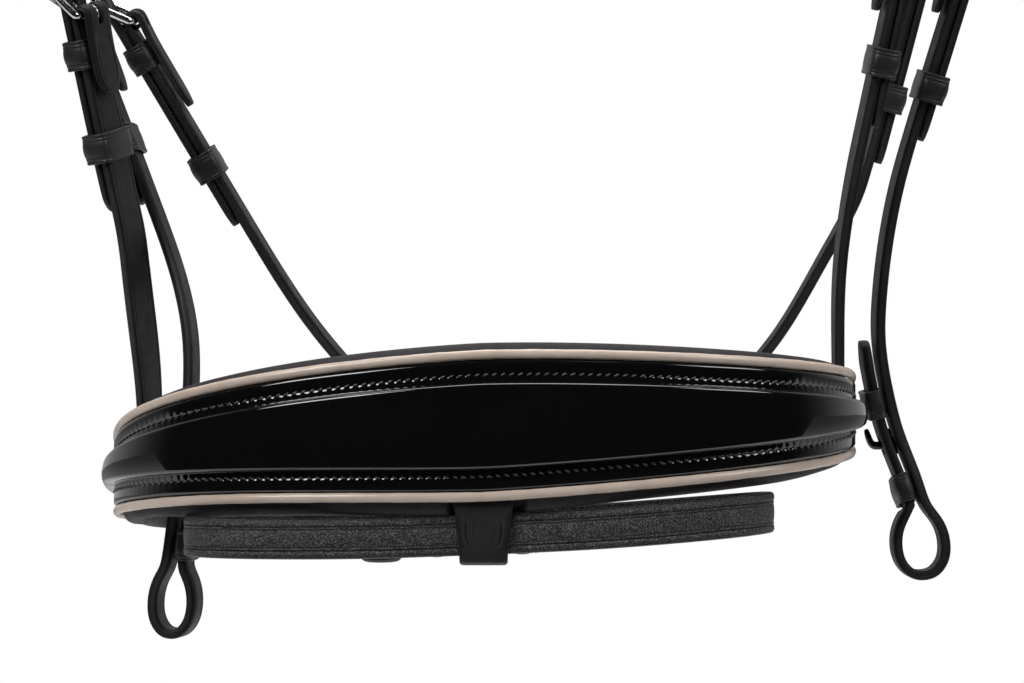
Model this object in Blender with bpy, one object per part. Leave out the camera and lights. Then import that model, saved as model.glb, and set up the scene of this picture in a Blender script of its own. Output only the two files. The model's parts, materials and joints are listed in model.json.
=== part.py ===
"""A horse's bridle: crown, browband, cheekpieces, throatlash, padded noseband and flash strap.

Lengths are in metres and Z is up. The noseband's face looks along -Y and +X is the picture's right.
The origin lies on the underside of the crown pad, where the bridle rests on the horse's poll.
Every strap is swept along a route: a list of stations, each with a place, the direction across the
strap, a width and a thickness. Round each buckle a Site gives the layers of leather their places.
"""
import math

import bmesh
import bpy
from mathutils import Matrix, Vector

# Clearances
GAP = 0.0003
SLIDE_PLAY = 0.0005
OVERRUN = 0.004

# Leather
STRAP_WIDTH = 0.013
THROAT_WIDTH = 0.010
CHIN_WIDTH = 0.013
FLASH_WIDTH = 0.012
STRAP_THICKNESS = 0.0030
BILLET_THICKNESS = 0.0024
FOLD_THICKNESS = 0.0020
EDGE_BEVEL = 0.0007
TIP_LENGTH = 0.007
TIP_SHARES = ((0.0, 1.0), (0.5, 0.88), (0.85, 0.62), (1.0, 0.36))

# Buckles
WIRE_RADIUS = 0.0012
FRAME_REACH = 0.014
FRAME_SIDE_PLAY = 0.0007
FRAME_CORNER = 0.0018
TONGUE_RADIUS = 0.0008
TONGUE_PAST_FRAME = 0.0016
TONGUE_SWING = math.radians(12)
TONGUE_WRAP = math.radians(280)
FOLD_LEAD = 0.0065
HOLE_RADIUS = 0.0016
HOLE_PITCH = 0.012

# Keepers
KEEPER_LENGTH = 0.009
KEEPER_WALL = 0.0015
KEEPER_THIN_WALL = 0.0008
KEEPER_CROWN = 0.0004

# Buckle sites: where the strap passes its bar, and where its straight stretch ends
HANGER_LEFT_BAR = (-0.1290, -0.0400, -0.1817)
HANGER_LEFT_STRAIGHT = (-0.1168, -0.0320, -0.2408)
HANGER_LEFT_MID = (-0.1150, -0.0245, -0.2560)
HANGER_RIGHT_BAR = (0.1192, -0.0300, -0.1558)
HANGER_RIGHT_STRAIGHT = (0.1063, -0.0240, -0.2174)
HANGER_RIGHT_MID = (0.1004, -0.0190, -0.2549)
CHEEK_LEFT_BAR = (-0.1322, -0.0050, -0.1807)
CHEEK_LEFT_STRAIGHT = (-0.1088, -0.0100, -0.2417)
CHEEK_RIGHT_BAR = (0.1408, -0.0150, -0.1562)
CHEEK_RIGHT_STRAIGHT = (0.1217, -0.0100, -0.2195)
THROAT_LEFT_BAR = (-0.1210, 0.0250, -0.1798)
THROAT_LEFT_STRAIGHT = (-0.0822, 0.0340, -0.2455)
THROAT_RIGHT_BAR = (0.1307, 0.0250, -0.1533)
THROAT_RIGHT_STRAIGHT = (0.1121, 0.0300, -0.2257)
CHEEK_CHAPE = 0.025
CHEEK_RUNNER = 0.040
CHEEK_RIGHT_RUNNER = 0.0475
CHEEK_BILLET = 0.060
CHEEK_RIGHT_BILLET = 0.064
THROAT_CHAPE = 0.032
THROAT_RUNNER = 0.051
THROAT_BILLET = 0.072
SMALL_CHAPE = 0.023
SMALL_RUNNER = 0.037
SMALL_BILLET = 0.050

# Facing of each strap: the outward direction turned from straight sideways towards the back
HANGER_LEFT_TURN = math.radians(25)
HANGER_RIGHT_TURN = math.radians(5)
CHEEK_LEFT_TURN = math.radians(7)
CHEEK_RIGHT_TURN = math.radians(4)
THROAT_TURN = math.radians(4)

# Cheekpieces below their straight stretch, and their bit loops
CHEEK_LEFT_MID = (-0.0977, -0.0200, -0.2841)
CHEEK_LEFT_NECK = (-0.1046, -0.0180, -0.3470)
CHEEK_RIGHT_MID = (0.1136, 0.0020, -0.2718)
CHEEK_RIGHT_LOW = (0.1183, 0.0060, -0.3029)
CHEEK_RIGHT_NECK = (0.1276, 0.0020, -0.3301)
LOOP_LEFT_HALF = 0.0062
LOOP_RIGHT_HALF = 0.0076
LOOP_LEFT_LEAN = math.radians(3)
LOOP_RIGHT_LEAN = math.radians(6)
LOOP_DROP = 0.0222
LOOP_SHARES = ((0.55, 0.14), (0.80, 0.27), (0.96, 0.43), (1.0, 0.60), (0.93, 0.76),
               (0.74, 0.88), (0.46, 0.97), (0.16, 1.0))
RETURN_LENGTH = 0.054
BIT_KEEPER_LOW = 0.0056
BIT_KEEPER_HIGH = 0.034
STUD_RISE = 0.0210
STUD_PLATE = 0.0010
STUD_PLATE_WIDTH = 0.008
STUD_PLATE_LENGTH = 0.009
STUD_RADIUS = 0.0014
STUD_HOOK = 0.0065
STUD_SLOT_LENGTH = 0.0056

# Throatlash between its two buckles: places behind the rear of the noseband's ring
THROAT_LOW_LEFT = (-0.0562, 0.0028, -0.2843)
THROAT_SAG_LEFT = (-0.0220, 0.0248, -0.3150)
THROAT_SAG = (0.0124, 0.0298, -0.3245)
THROAT_SAG_RIGHT = (0.0480, 0.0248, -0.3145)
THROAT_LOW_RIGHT = (0.0803, 0.0048, -0.2850)
THROAT_MID_RIGHT = (0.0990, -0.0092, -0.2540)

# Crown, pad, sliphead and browband
CROWN_WIDTH = 0.040
CROWN_FLAT_HALF = 0.018
CROWN_HALF = 0.138
CROWN_DROP = 0.085
CROWN_LEG = 0.037
CROWN_POWER = 2.2
CROWN_STEPS = 9
TAIL_OVERLAP = 0.010
PAD_WIDTH = 0.046
PAD_UNDER = 0.0050
PAD_STEPS = 6
PAD_END_SHARE = 0.12
SLIPHEAD_FORWARD = 0.0245
SLIPHEAD_EASE = 0.0005
BILLET_LEAD = 0.024
BROWBAND_HEIGHT = 0.018
BROWBAND_LEVEL = -0.0935
BROWBAND_PLAY = 0.0012
BROWBAND_REACH = 0.078
BROWBAND_LAP = 0.012
BROWBAND_NECK = 0.0078
BROWBAND_STEPS = 9
BROWBAND_BULGE_SHARES = ((0.12, 0.30), (0.5, 0.46), (0.88, 0.30))

# Noseband: plan of its ring, lean, and the padded front piece
RING_CENTRE_X = -0.0083
RING_FRONT_Y = -0.0828
RING_HALF_WIDTH = 0.1092
RING_DEPTH = 0.132
RING_POWER = 2.4
RING_LEVEL = -0.3045
RING_ROLL_SHARE = 0.040
RING_TWIST_SHARE = 0.10
RING_DROP = 0.0155
NOSE_HALF_LENGTH = 0.190
NOSE_HEIGHT = 0.0378
NOSE_END_HEIGHT = 0.013
NOSE_TAPER_LENGTH = 0.165
NOSE_TAPER_SHARE = 1.475
NOSE_STATIONS = 16
NOSE_END_ROUND = 0.010
NOSE_END_SHARES = (0.0, 0.5, 0.85, 1.0)
FACING_THICKNESS = 0.0022
RAISED_THICKNESS = 0.0032
RAISED_HEIGHT = 0.0268
RAISED_END_HEIGHT = 0.009
RAISED_HALF_LENGTH = 0.180
PIPING_HEIGHT = 0.0029
PIPING_THICKNESS = 0.0020
LINING_UNDER = 0.0042
LINING_LIP_UPPER = 0.0020
LINING_LIP_LOWER = 0.0022
HANGER_LEFT_SHARE = 0.884
HANGER_RIGHT_SHARE = 0.775
HANGER_FOOT_SHARE = 0.30
FOOT_INSET = 0.0007
CHIN_START_SHARE = 0.929
DOME_SHARES = ((1.0, 0.0), (1.0, 0.30), (0.93, 0.72), (0.78, 0.94), (0.42, 1.0))
PAD_EDGE_SHARES = ((1.0, 0.0), (1.0, 0.45), (0.93, 0.80), (0.80, 1.0))

# Noseband rear fastening
CHIN_BAR_X = -0.004
CHIN_STRAIGHT = 0.052
CHIN_INSET = 0.0002
CHIN_RUN = 0.014

# Flash loop and flash strap
FLASH_LOOP_TOP_WIDTH = 0.0196
FLASH_LOOP_BOTTOM_WIDTH = 0.0142
FLASH_LOOP_THICKNESS = 0.0024
FLASH_LOOP_CORNER = 0.0022
FLASH_LOOP_BACK_RISE = 0.012
FLASH_HALF = 0.0863
FLASH_CENTRE_X = -0.0098
FLASH_DEPTH = 0.038
FLASH_LEVEL = -0.3366
FLASH_TILT = 0.0035
FLASH_LIFT = 0.0026
FLASH_BAR_X = -0.034
FLASH_STRAIGHT = 0.052
FLASH_PLAN_SHARES = ((0.30, 1.0), (0.58, 1.0), (0.84, 0.82), (0.97, 0.42), (1.0, 0.0))

# Colours and roughness of the finishes
BLACK_LEATHER = (0.018, 0.017, 0.018)
PATENT = (0.004, 0.004, 0.005)
CREAM = (0.72, 0.60, 0.50)
STEEL = (0.72, 0.72, 0.74)
SHARP_ANGLE = math.radians(38)


def material(name, colour, roughness, metallic=0.0):
    """Return the named Principled material, made once."""
    found = bpy.data.materials.get(name)
    if found:
        return found
    made = bpy.data.materials.new(name)
    made.use_nodes = True
    shader = made.node_tree.nodes["Principled BSDF"]
    shader.inputs["Base Color"].default_value = (*colour, 1.0)
    shader.inputs["Roughness"].default_value = roughness
    shader.inputs["Metallic"].default_value = metallic
    return made


def leather():
    return material("black_leather", BLACK_LEATHER, 0.55)


def patent_leather():
    return material("patent_leather", PATENT, 0.06)


def cream_leather():
    return material("cream_piping", CREAM, 0.5)


def soft_leather():
    return material("soft_lining", BLACK_LEATHER, 0.75)


def steel():
    return material("stainless_steel", STEEL, 0.22, 1.0)


class Station:
    """One cross-section of a strap: its place, the direction across it, its width and thickness."""

    def __init__(self, place, across, width, thickness):
        self.place = Vector(place)
        self.across = Vector(across)
        self.width = width
        self.thickness = thickness


def bevelled(width, thickness):
    """Strap section with a flat flesh side and two bevelled edges on its outer side."""
    half, deep = width / 2, thickness / 2
    bevel = min(EDGE_BEVEL, deep, half / 2)
    return [(half, -deep), (half, deep - bevel), (half - bevel, deep),
            (bevel - half, deep), (-half, deep - bevel), (-half, -deep)]


def rounded(width, thickness):
    """Section with all its corners cut, for wire, piping and the rounded edges of a pad."""
    half, deep = width / 2, thickness / 2
    cut = min(half, deep) * (2 - math.sqrt(2))
    return [(half, deep - cut), (half - cut, deep), (cut - half, deep), (-half, deep - cut),
            (-half, cut - deep), (cut - half, -deep), (half - cut, -deep), (half, cut - deep)]


def oval(width, thickness):
    """Six-sided section of a round wire or a piping's bead."""
    half, deep = width / 2, thickness / 2
    return [(half, 0), (half / 2, deep), (-half / 2, deep),
            (-half, 0), (-half / 2, -deep), (half / 2, -deep)]


def crowned(width, thickness, shares, side=1):
    """Section that is flat on one side and swells on the other by the given shares."""
    half = width / 2
    right = [(half * wide, side * (high - 0.5) * thickness) for wide, high in shares]
    left = [(-across, out) for across, out in reversed(right)]
    return right + left


def dome(width, thickness):
    return crowned(width, thickness, DOME_SHARES)


def pad_roll(width, thickness):
    return crowned(width, thickness, PAD_EDGE_SHARES, -1)


def mesh_object(name, rings, finish, closed=False):
    """Make one closed body from rings of points, each joined to the next."""
    grid = bmesh.new()
    rows = [[grid.verts.new(point) for point in ring] for ring in rings]
    count = len(rows[0])
    pairs = list(zip(rows, rows[1:] + rows[:1])) if closed else list(zip(rows, rows[1:]))
    for first, second in pairs:
        for index in range(count):
            after = (index + 1) % count
            grid.faces.new((first[index], first[after], second[after], second[index]))
    if not closed:
        grid.faces.new(rows[0])
        grid.faces.new(list(reversed(rows[-1])))
    bmesh.ops.recalc_face_normals(grid, faces=grid.faces)
    mesh = bpy.data.meshes.new(name)
    grid.to_mesh(mesh)
    grid.free()
    made = bpy.data.objects.new(name, mesh)
    made.data.materials.append(finish)
    bpy.context.scene.collection.objects.link(made)
    return made


def sweep(name, stations, finish, section=bevelled, closed=False):
    """Sweep a section along stations. Its outer side lies to the left of the way they run."""
    rings = []
    last = len(stations) - 1
    for index, station in enumerate(stations):
        if closed:
            before, after = stations[index - 1], stations[(index + 1) % len(stations)]
        else:
            before, after = stations[max(index - 1, 0)], stations[min(index + 1, last)]
        along = (after.place - before.place).normalized()
        across = (station.across - along * station.across.dot(along)).normalized()
        out = across.cross(along)
        shape = section(station.width, station.thickness)
        rings.append([station.place + across * side + out * high for side, high in shape])
    return mesh_object(name, rings, finish, closed)


def subtract(target, cutters):
    """Cut the closed cutters out of the target and remove them."""
    grid = bmesh.new()
    for cutter in cutters:
        grid.from_mesh(cutter.data)
    grid.to_mesh(cutters[0].data)
    grid.free()
    cut = target.modifiers.new("cut", "BOOLEAN")
    cut.operation = "DIFFERENCE"
    cut.solver = "EXACT"
    cut.object = cutters[0]
    settle(target, cutters)


def unite(target, others):
    """Join the other bodies to the target as one closed body and remove them."""
    for other in others:
        join = target.modifiers.new("join", "BOOLEAN")
        join.operation = "UNION"
        join.solver = "EXACT"
        join.object = other
    settle(target, others)


def put_origin(target, place):
    """Move a piece's origin to the place that it turns about or slides from."""
    target.data.transform(Matrix.Translation(target.location - place))
    target.location = place
    return target


def settle(target, used):
    """Replace the target's mesh by its shape after its modifiers."""
    bpy.context.view_layer.update()
    graph = bpy.context.evaluated_depsgraph_get()
    shaped = bpy.data.meshes.new_from_object(target.evaluated_get(graph))
    target.modifiers.clear()
    target.data = shaped
    for other in used:
        bpy.data.objects.remove(other)


def box(name, centre, axes, sizes):
    """A closed block with its own three directions, used as a cutter."""
    (first, second, third), (a, b, c) = axes, sizes
    rings = []
    for end in (-c / 2, c / 2):
        base = centre + third * end
        rings.append([base + first * a / 2 * x + second * b / 2 * y
                      for x, y in ((1, 1), (-1, 1), (-1, -1), (1, -1))])
    return mesh_object(name, rings, leather())


def rod(name, centre, axis, side, radius, length):
    """A closed eight-sided rod, used as a round cutter."""
    other = axis.cross(side)
    rings = []
    for end in (-length / 2, length / 2):
        base = centre + axis * end
        rings.append([base + (side * math.cos(turn) + other * math.sin(turn)) * radius
                      for turn in (math.tau * (step + 0.5) / 8 for step in range(8))])
    return mesh_object(name, rings, leather())


def curve_through(points, start=None, end=None, steps=4):
    """Smooth curve through points, leaving and arriving along the given directions."""
    points = [Vector(point) for point in points]
    last = len(points) - 1
    slopes = []
    for index in range(last + 1):
        before, after = points[max(index - 1, 0)], points[min(index + 1, last)]
        slopes.append((after - before).normalized())
    if start is not None:
        slopes[0] = Vector(start).normalized()
    if end is not None:
        slopes[-1] = Vector(end).normalized()
    found = [points[0]]
    for index in range(last):
        first, second = points[index], points[index + 1]
        reach = (second - first).length
        for step in range(1, steps + 1):
            t = step / steps
            found.append(first * (2 * t**3 - 3 * t**2 + 1) + second * (3 * t**2 - 2 * t**3)
                         + slopes[index] * reach * (t**3 - 2 * t**2 + t)
                         + slopes[index + 1] * reach * (t**3 - t**2))
    return found


def turned(places, first, last, width, thickness):
    """Stations along places, the direction across turning evenly from the first to the last."""
    count = max(len(places) - 1, 1)
    return [Station(place, first.lerp(last, index / count), width, thickness)
            for index, place in enumerate(places)]


class Site:
    """A buckle: where its bar, frame and tongue and each layer of the two straps lie.

    Places are given as (up, out): up along the strap from the bar, out from the middle of the
    main strap towards the side that shows. The strap passes in front of the bar and turns back
    behind it, and the other strap's billet lies on its outer side.
    """

    def __init__(self, name, bar, straight_end, out_hint, width, chape, runner, billet):
        self.name = name
        self.origin = Vector(bar)
        self.up = (self.origin - Vector(straight_end)).normalized()
        hint = Vector(out_hint)
        self.out = (hint - self.up * hint.dot(self.up)).normalized()
        self.across = self.out.cross(self.up)
        self.width = width
        self.chape = chape
        self.runner = runner
        self.billet = billet
        self.straight = (self.origin - Vector(straight_end)).length
        self.bar_in = FOLD_THICKNESS / 2 + GAP + WIRE_RADIUS
        self.turnback = STRAP_THICKNESS / 2 + 2 * GAP + KEEPER_THIN_WALL + FOLD_THICKNESS / 2
        self.billet_out = STRAP_THICKNESS / 2 + GAP + BILLET_THICKNESS / 2
        top_out = self.billet_out + BILLET_THICKNESS / 2 + GAP + WIRE_RADIUS
        self.tilt = math.asin((top_out + self.bar_in) / FRAME_REACH)
        self.wrap = WIRE_RADIUS + GAP + TONGUE_RADIUS

    def place(self, up, out, across=0.0):
        return self.origin + self.up * up + self.out * out + self.across * across

    def station(self, up, out, width, thickness):
        return Station(self.place(up, out), self.across, width, thickness)

    def end_of_straight(self):
        return self.place(-self.straight, 0)

    def tip(self, length, out, thickness):
        """Stations of a rounded strap end that points down the strap."""
        return [self.station(TIP_LENGTH * (1 - share) - length, out, self.width * wide, thickness)
                for share, wide in TIP_SHARES]

    def chape_stations(self):
        """The turned-back end, up behind the bar, over it and down in front to full thickness."""
        found = list(reversed(self.tip(self.chape, -self.turnback, FOLD_THICKNESS)))
        found.append(self.station(-FOLD_LEAD, -self.turnback, self.width, FOLD_THICKNESS))
        for step in range(7):
            turn = math.pi * (step / 6 - 0.5)
            found.append(self.station(self.bar_in * math.cos(turn),
                                      self.bar_in * (math.sin(turn) - 1),
                                      self.width, FOLD_THICKNESS))
        found.append(self.station(-FOLD_LEAD, 0, self.width, STRAP_THICKNESS))
        found.append(self.station(-self.straight, 0, self.width, STRAP_THICKNESS))
        return found

    def billet_stations(self):
        """The other strap's end, from above the frame through it and down to its tip."""
        start = self.station(BILLET_LEAD, self.billet_out, self.width, BILLET_THICKNESS)
        return [start] + self.tip(self.billet, self.billet_out, BILLET_THICKNESS)

    def crew_hole(self):
        """Cutter of the slot that the tongue takes through the fold."""
        deep = self.wrap + TONGUE_RADIUS + GAP
        front = STRAP_THICKNESS / 2 + GAP / 2
        rear = -2 * self.bar_in - FOLD_THICKNESS
        centre = self.place(OVERRUN / 2, (front + rear) / 2)
        return box("cutter", centre, (self.across, self.up, self.out),
                   (2 * (TONGUE_RADIUS + GAP), 2 * deep + OVERRUN, front - rear))

    def billet_holes(self):
        """Cutters of the billet's holes; the one in use is as long as the tongue's swing needs."""
        near = self.billet_out - BILLET_THICKNESS / 2 + self.bar_in
        far = near + BILLET_THICKNESS
        inner = self.wrap - TONGUE_RADIUS
        outer = self.wrap + TONGUE_RADIUS
        top = (far * math.cos(self.tilt) - inner) / math.sin(self.tilt) + GAP
        open_tilt = self.tilt + TONGUE_SWING
        low = (near * math.cos(open_tilt) - outer) / math.sin(open_tilt) - GAP
        middle = (top + low) / 2
        deep = BILLET_THICKNESS + GAP
        centre = self.place(middle, self.billet_out)
        cutters = [box("cutter", centre, (self.across, self.up, self.out),
                       (2 * (TONGUE_RADIUS + GAP), top - low, deep))]
        for step in (-3, -2, -1, 1):
            centre = self.place(middle + HOLE_PITCH * step, self.billet_out)
            cutters.append(rod("cutter", centre, self.out, self.up, HOLE_RADIUS, deep))
        return cutters

    def frame_direction(self):
        return self.up * math.cos(self.tilt) + self.out * math.sin(self.tilt)

    def make_frame(self):
        """The buckle's frame: one bent wire whose lower side is the bar."""
        centre = self.place(0, -self.bar_in)
        reach = self.frame_direction()
        square = self.across.cross(reach)
        half = self.width / 2 + FRAME_SIDE_PLAY + WIRE_RADIUS
        stations = []
        corners = ((half, 0, -90), (half, FRAME_REACH, 0), (-half, FRAME_REACH, 90), (-half, 0, 180))
        for side, along, begin in corners:
            pull_side = math.copysign(FRAME_CORNER, side)
            pull_along = FRAME_CORNER if along == 0 else -FRAME_CORNER
            middle = centre + self.across * (side - pull_side) + reach * (along + pull_along)
            for step in range(3):
                turn = math.radians(begin + 45 * step)
                point = middle + (self.across * math.cos(turn) + reach * math.sin(turn)) * FRAME_CORNER
                stations.append(Station(point, square, 2 * WIRE_RADIUS, 2 * WIRE_RADIUS))
        return sweep(self.name + "_frame", stations, steel(), rounded, closed=True)

    def make_tongue(self):
        """The tongue: a wire that wraps the bar and rests on the frame's far side."""
        centre = self.place(0, -self.bar_in)
        reach = self.frame_direction()
        over = self.out * math.cos(self.tilt) - self.up * math.sin(self.tilt)
        places = []
        steps = 8
        for step in range(steps + 1):
            turn = math.pi / 2 + TONGUE_WRAP * (1 - step / steps)
            places.append(centre + (reach * math.cos(turn) + over * math.sin(turn)) * self.wrap)
        end = FRAME_REACH + WIRE_RADIUS + TONGUE_PAST_FRAME
        places.append(centre + reach * FRAME_REACH * 0.6 + over * self.wrap)
        places.append(centre + reach * end + over * self.wrap)
        wide = 2 * TONGUE_RADIUS
        stations = [Station(place, self.across, wide, wide) for place in places]
        stations[-1].width = wide / 2
        stations[-1].thickness = wide / 2
        return put_origin(sweep(self.name + "_tongue", stations, steel(), oval), centre)

    def make_keeper(self, name, up, inner_wall, play):
        """A leather loop round the main strap and the billet, at a place along them."""
        low, high = -STRAP_THICKNESS / 2, self.billet_out + BILLET_THICKNESS / 2
        middle = self.place(up, (low + high) / 2)
        axes = (self.across, self.out, self.up)
        return keeper(name, middle, axes, self.width + 2 * play, high - low + 2 * play, inner_wall)

    def make_hardware(self):
        """The frame, the tongue, the stitched keeper and the runner that slides lower down."""
        self.make_frame()
        self.make_tongue()
        self.make_keeper(self.name + "_keeper", -FOLD_LEAD - GAP - KEEPER_LENGTH / 2,
                         KEEPER_THIN_WALL, GAP)
        runner = self.make_keeper(self.name + "_runner", -self.runner, KEEPER_WALL, SLIDE_PLAY)
        put_origin(runner, self.place(-self.runner, 0))


def keeper(name, centre, axes, wide, high, inner_wall):
    """A short leather tube with rounded corners, a little crowned along its middle."""
    across, out, along = axes
    rings = []
    for share, swell in ((-0.5, 0), (0, KEEPER_CROWN), (0.5, 0)):
        wall = KEEPER_WALL + swell
        middle = centre + along * share * KEEPER_LENGTH + out * (wall - inner_wall) / 2
        rings.append(keeper_ring(middle, across, out, wide / 2 + wall,
                                 (high + wall + inner_wall) / 2, KEEPER_WALL))
    for share in (0.5, -0.5):
        rings.append(keeper_ring(centre + along * share * KEEPER_LENGTH, across, out,
                                 wide / 2, high / 2, GAP))
    return mesh_object(name, rings, leather(), closed=True)


def keeper_ring(centre, across, out, half, deep, cut):
    """The eight points of a rectangle with cut corners."""
    shape = [(half, deep - cut), (half - cut, deep), (cut - half, deep), (-half, deep - cut),
             (-half, cut - deep), (cut - half, -deep), (half - cut, -deep), (half, cut - deep)]
    return [centre + across * side + out * high for side, high in shape]


class NoseRing:
    """The noseband's ring: places along its length, measured from the front's middle."""

    def __init__(self):
        count = 720
        places = []
        half_depth = RING_DEPTH / 2
        for step in range(-count // 2, count // 2 + 1):
            turn = math.tau * step / count - math.pi / 2
            x = RING_HALF_WIDTH * signed_power(math.cos(turn), 2 / RING_POWER)
            y = half_depth * (1 + signed_power(math.sin(turn), 2 / RING_POWER))
            x, y = RING_CENTRE_X + x, RING_FRONT_Y + y
            places.append(Vector((x, y, ring_height(x, y))))
        self.places = places
        lengths = [0.0]
        for first, second in zip(places, places[1:]):
            lengths.append(lengths[-1] + (second - first).length)
        middle = lengths[count // 2]
        self.lengths = [length - middle for length in lengths]

    def at(self, arc):
        """Place, direction along, direction out and direction up at a length along the ring."""
        index = 1
        while index < len(self.lengths) - 1 and self.lengths[index] < arc:
            index += 1
        first, second = self.places[index - 1], self.places[index]
        share = (arc - self.lengths[index - 1]) / (self.lengths[index] - self.lengths[index - 1])
        before = self.places[max(index - 4, 0)]
        after = self.places[min(index + 3, len(self.places) - 1)]
        along = (after - before).normalized()
        out = Vector((along.y, -along.x, 0)).normalized()
        return first.lerp(second, share), along, out, out.cross(along).normalized()

    def station(self, arc, out, rise, width, thickness):
        place, _, outward, up = self.at(arc)
        return Station(place + outward * out + up * rise, up, width, thickness)


def signed_power(value, power):
    return math.copysign(abs(value) ** power, value)


def tapered(arc, middle, end, half_length):
    """A height that narrows from the middle of the noseband to its ends."""
    share = min(abs(arc) / half_length, 1.0)
    return middle - (middle - end) * share ** NOSE_TAPER_SHARE


def facing_height(arc):
    return tapered(arc, NOSE_HEIGHT, NOSE_END_HEIGHT, NOSE_TAPER_LENGTH)


def end_round(arc, half_length):
    """Share of the height that is left where an end is rounded off."""
    past = abs(arc) - (half_length - NOSE_END_ROUND)
    if past <= 0:
        return 1.0
    return math.sqrt(max(1 - (past / NOSE_END_ROUND) ** 2, 0.12))


def nose_arcs(half_length):
    """Lengths of the stations along a piece of the noseband, closer at its rounded ends."""
    inner = half_length - NOSE_END_ROUND
    pitch = NOSE_HALF_LENGTH / NOSE_STATIONS
    arcs = [pitch * step for step in range(NOSE_STATIONS) if pitch * step < inner - GAP]
    arcs += [inner + NOSE_END_ROUND * share for share in NOSE_END_SHARES]
    return [-arc for arc in reversed(arcs[1:])] + arcs


FACING_IN = STRAP_THICKNESS / 2 + GAP
FACING_OUT = FACING_IN + FACING_THICKNESS
LINING_OUT = STRAP_THICKNESS / 2
LINING_IN = -STRAP_THICKNESS / 2 - FOOT_INSET - GAP - LINING_UNDER


def make_facing(ring):
    """The flat patent strap that carries the raised centre and the two rows of stitching."""
    middle = (FACING_IN + FACING_OUT) / 2
    stations = [ring.station(arc, middle, 0, facing_height(arc) * end_round(arc, NOSE_HALF_LENGTH),
                             FACING_THICKNESS) for arc in nose_arcs(NOSE_HALF_LENGTH)]
    sweep("noseband_facing", stations, patent_leather())


def make_raised_centre(ring):
    middle = FACING_OUT + 2 * GAP + RAISED_THICKNESS / 2
    stations = []
    for arc in nose_arcs(RAISED_HALF_LENGTH):
        height = tapered(arc, RAISED_HEIGHT, RAISED_END_HEIGHT, RAISED_HALF_LENGTH)
        height *= end_round(arc, RAISED_HALF_LENGTH)
        stations.append(ring.station(arc, middle, 0, height, RAISED_THICKNESS))
    sweep("noseband_raised_centre", stations, patent_leather(), dome)


def make_piping(ring, name, side):
    """A cream bead along one edge of the facing; side is 1 above and -1 below."""
    middle = FACING_IN + PIPING_THICKNESS / 2
    stations = []
    for arc in nose_arcs(NOSE_HALF_LENGTH):
        if abs(arc) > NOSE_HALF_LENGTH - NOSE_END_ROUND:
            continue
        rise = side * (facing_height(arc) / 2 + GAP + PIPING_HEIGHT / 2)
        stations.append(ring.station(arc, middle, rise, PIPING_HEIGHT, PIPING_THICKNESS))
    sweep(name, stations, cream_leather(), oval)


def lining_edges(arc):
    """Heights of the lining's two edges above and below the ring's own line."""
    half = facing_height(arc) / 2 + GAP + PIPING_HEIGHT
    share = min(abs(arc) / NOSE_HALF_LENGTH, 1.0)
    upper = half + LINING_LIP_UPPER * (1 - share ** 2)
    lower = half + LINING_LIP_LOWER * (1 - share ** 4 / 2)
    ends = end_round(arc, NOSE_HALF_LENGTH)
    return upper * ends, -lower * ends


def make_lining(ring, cutters):
    """The padded lining, with pockets for the hangers, the chin straps and the flash loop."""
    middle = (LINING_OUT + LINING_IN) / 2
    stations = []
    for arc in nose_arcs(NOSE_HALF_LENGTH):
        upper, lower = lining_edges(arc)
        stations.append(ring.station(arc, middle, (upper + lower) / 2, upper - lower,
                                     LINING_OUT - LINING_IN))
    lining = sweep("noseband_lining", stations, soft_leather(), pad_roll)
    subtract(lining, cutters)


def pocket(centre, axes, wide, high):
    """Cutter of the room that a flat strap end takes in the front of the lining."""
    deep = STRAP_THICKNESS + 2 * GAP
    out = axes[2]
    centre = centre + out * OVERRUN / 2
    return box("cutter", centre, axes, (wide + 2 * GAP, high, deep + OVERRUN))


class Foot:
    """Where a hanger's lower end lies between the facing and the lining."""

    def __init__(self, ring, arc):
        place, along, out, up = ring.at(arc)
        self.up, self.along, self.out = up, along, out
        reach = facing_height(arc) / 2 + GAP + PIPING_HEIGHT + LINING_LIP_UPPER
        self.low = place - out * FOOT_INSET - up * facing_height(arc) * HANGER_FOOT_SHARE
        self.high = place - out * FOOT_INSET + up * (reach + GAP)

    def pocket(self):
        height = (self.high - self.low).length
        centre = (self.low + self.high) / 2 + self.up * (OVERRUN / 2 - GAP)
        return pocket(centre, (self.along, self.up, self.out), STRAP_WIDTH, height + OVERRUN)


def make_hanger(name, site, mid, foot):
    """A noseband cheek strap, from its buckle down into the noseband."""
    stations = site.chape_stations()
    curve = curve_through([site.end_of_straight(), mid, foot.high], -site.up, -foot.up, 4)
    across = foot.along if foot.along.dot(site.across) > 0 else -foot.along
    stations += turned(curve[1:], site.across, across, STRAP_WIDTH, STRAP_THICKNESS)
    stations.append(Station(foot.low, across, STRAP_WIDTH, STRAP_THICKNESS))
    hanger = sweep(name, stations, leather())
    subtract(hanger, [site.crew_hole()])


def offset_line(stations, depth):
    """The same stations moved inwards, off the strap's inner side."""
    last = len(stations) - 1
    moved = []
    for index, station in enumerate(stations):
        before, after = stations[max(index - 1, 0)], stations[min(index + 1, last)]
        along = (after.place - before.place).normalized()
        across = (station.across - along * station.across.dot(along)).normalized()
        moved.append((station.place - across.cross(along) * depth, across, along))
    return moved


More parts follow.
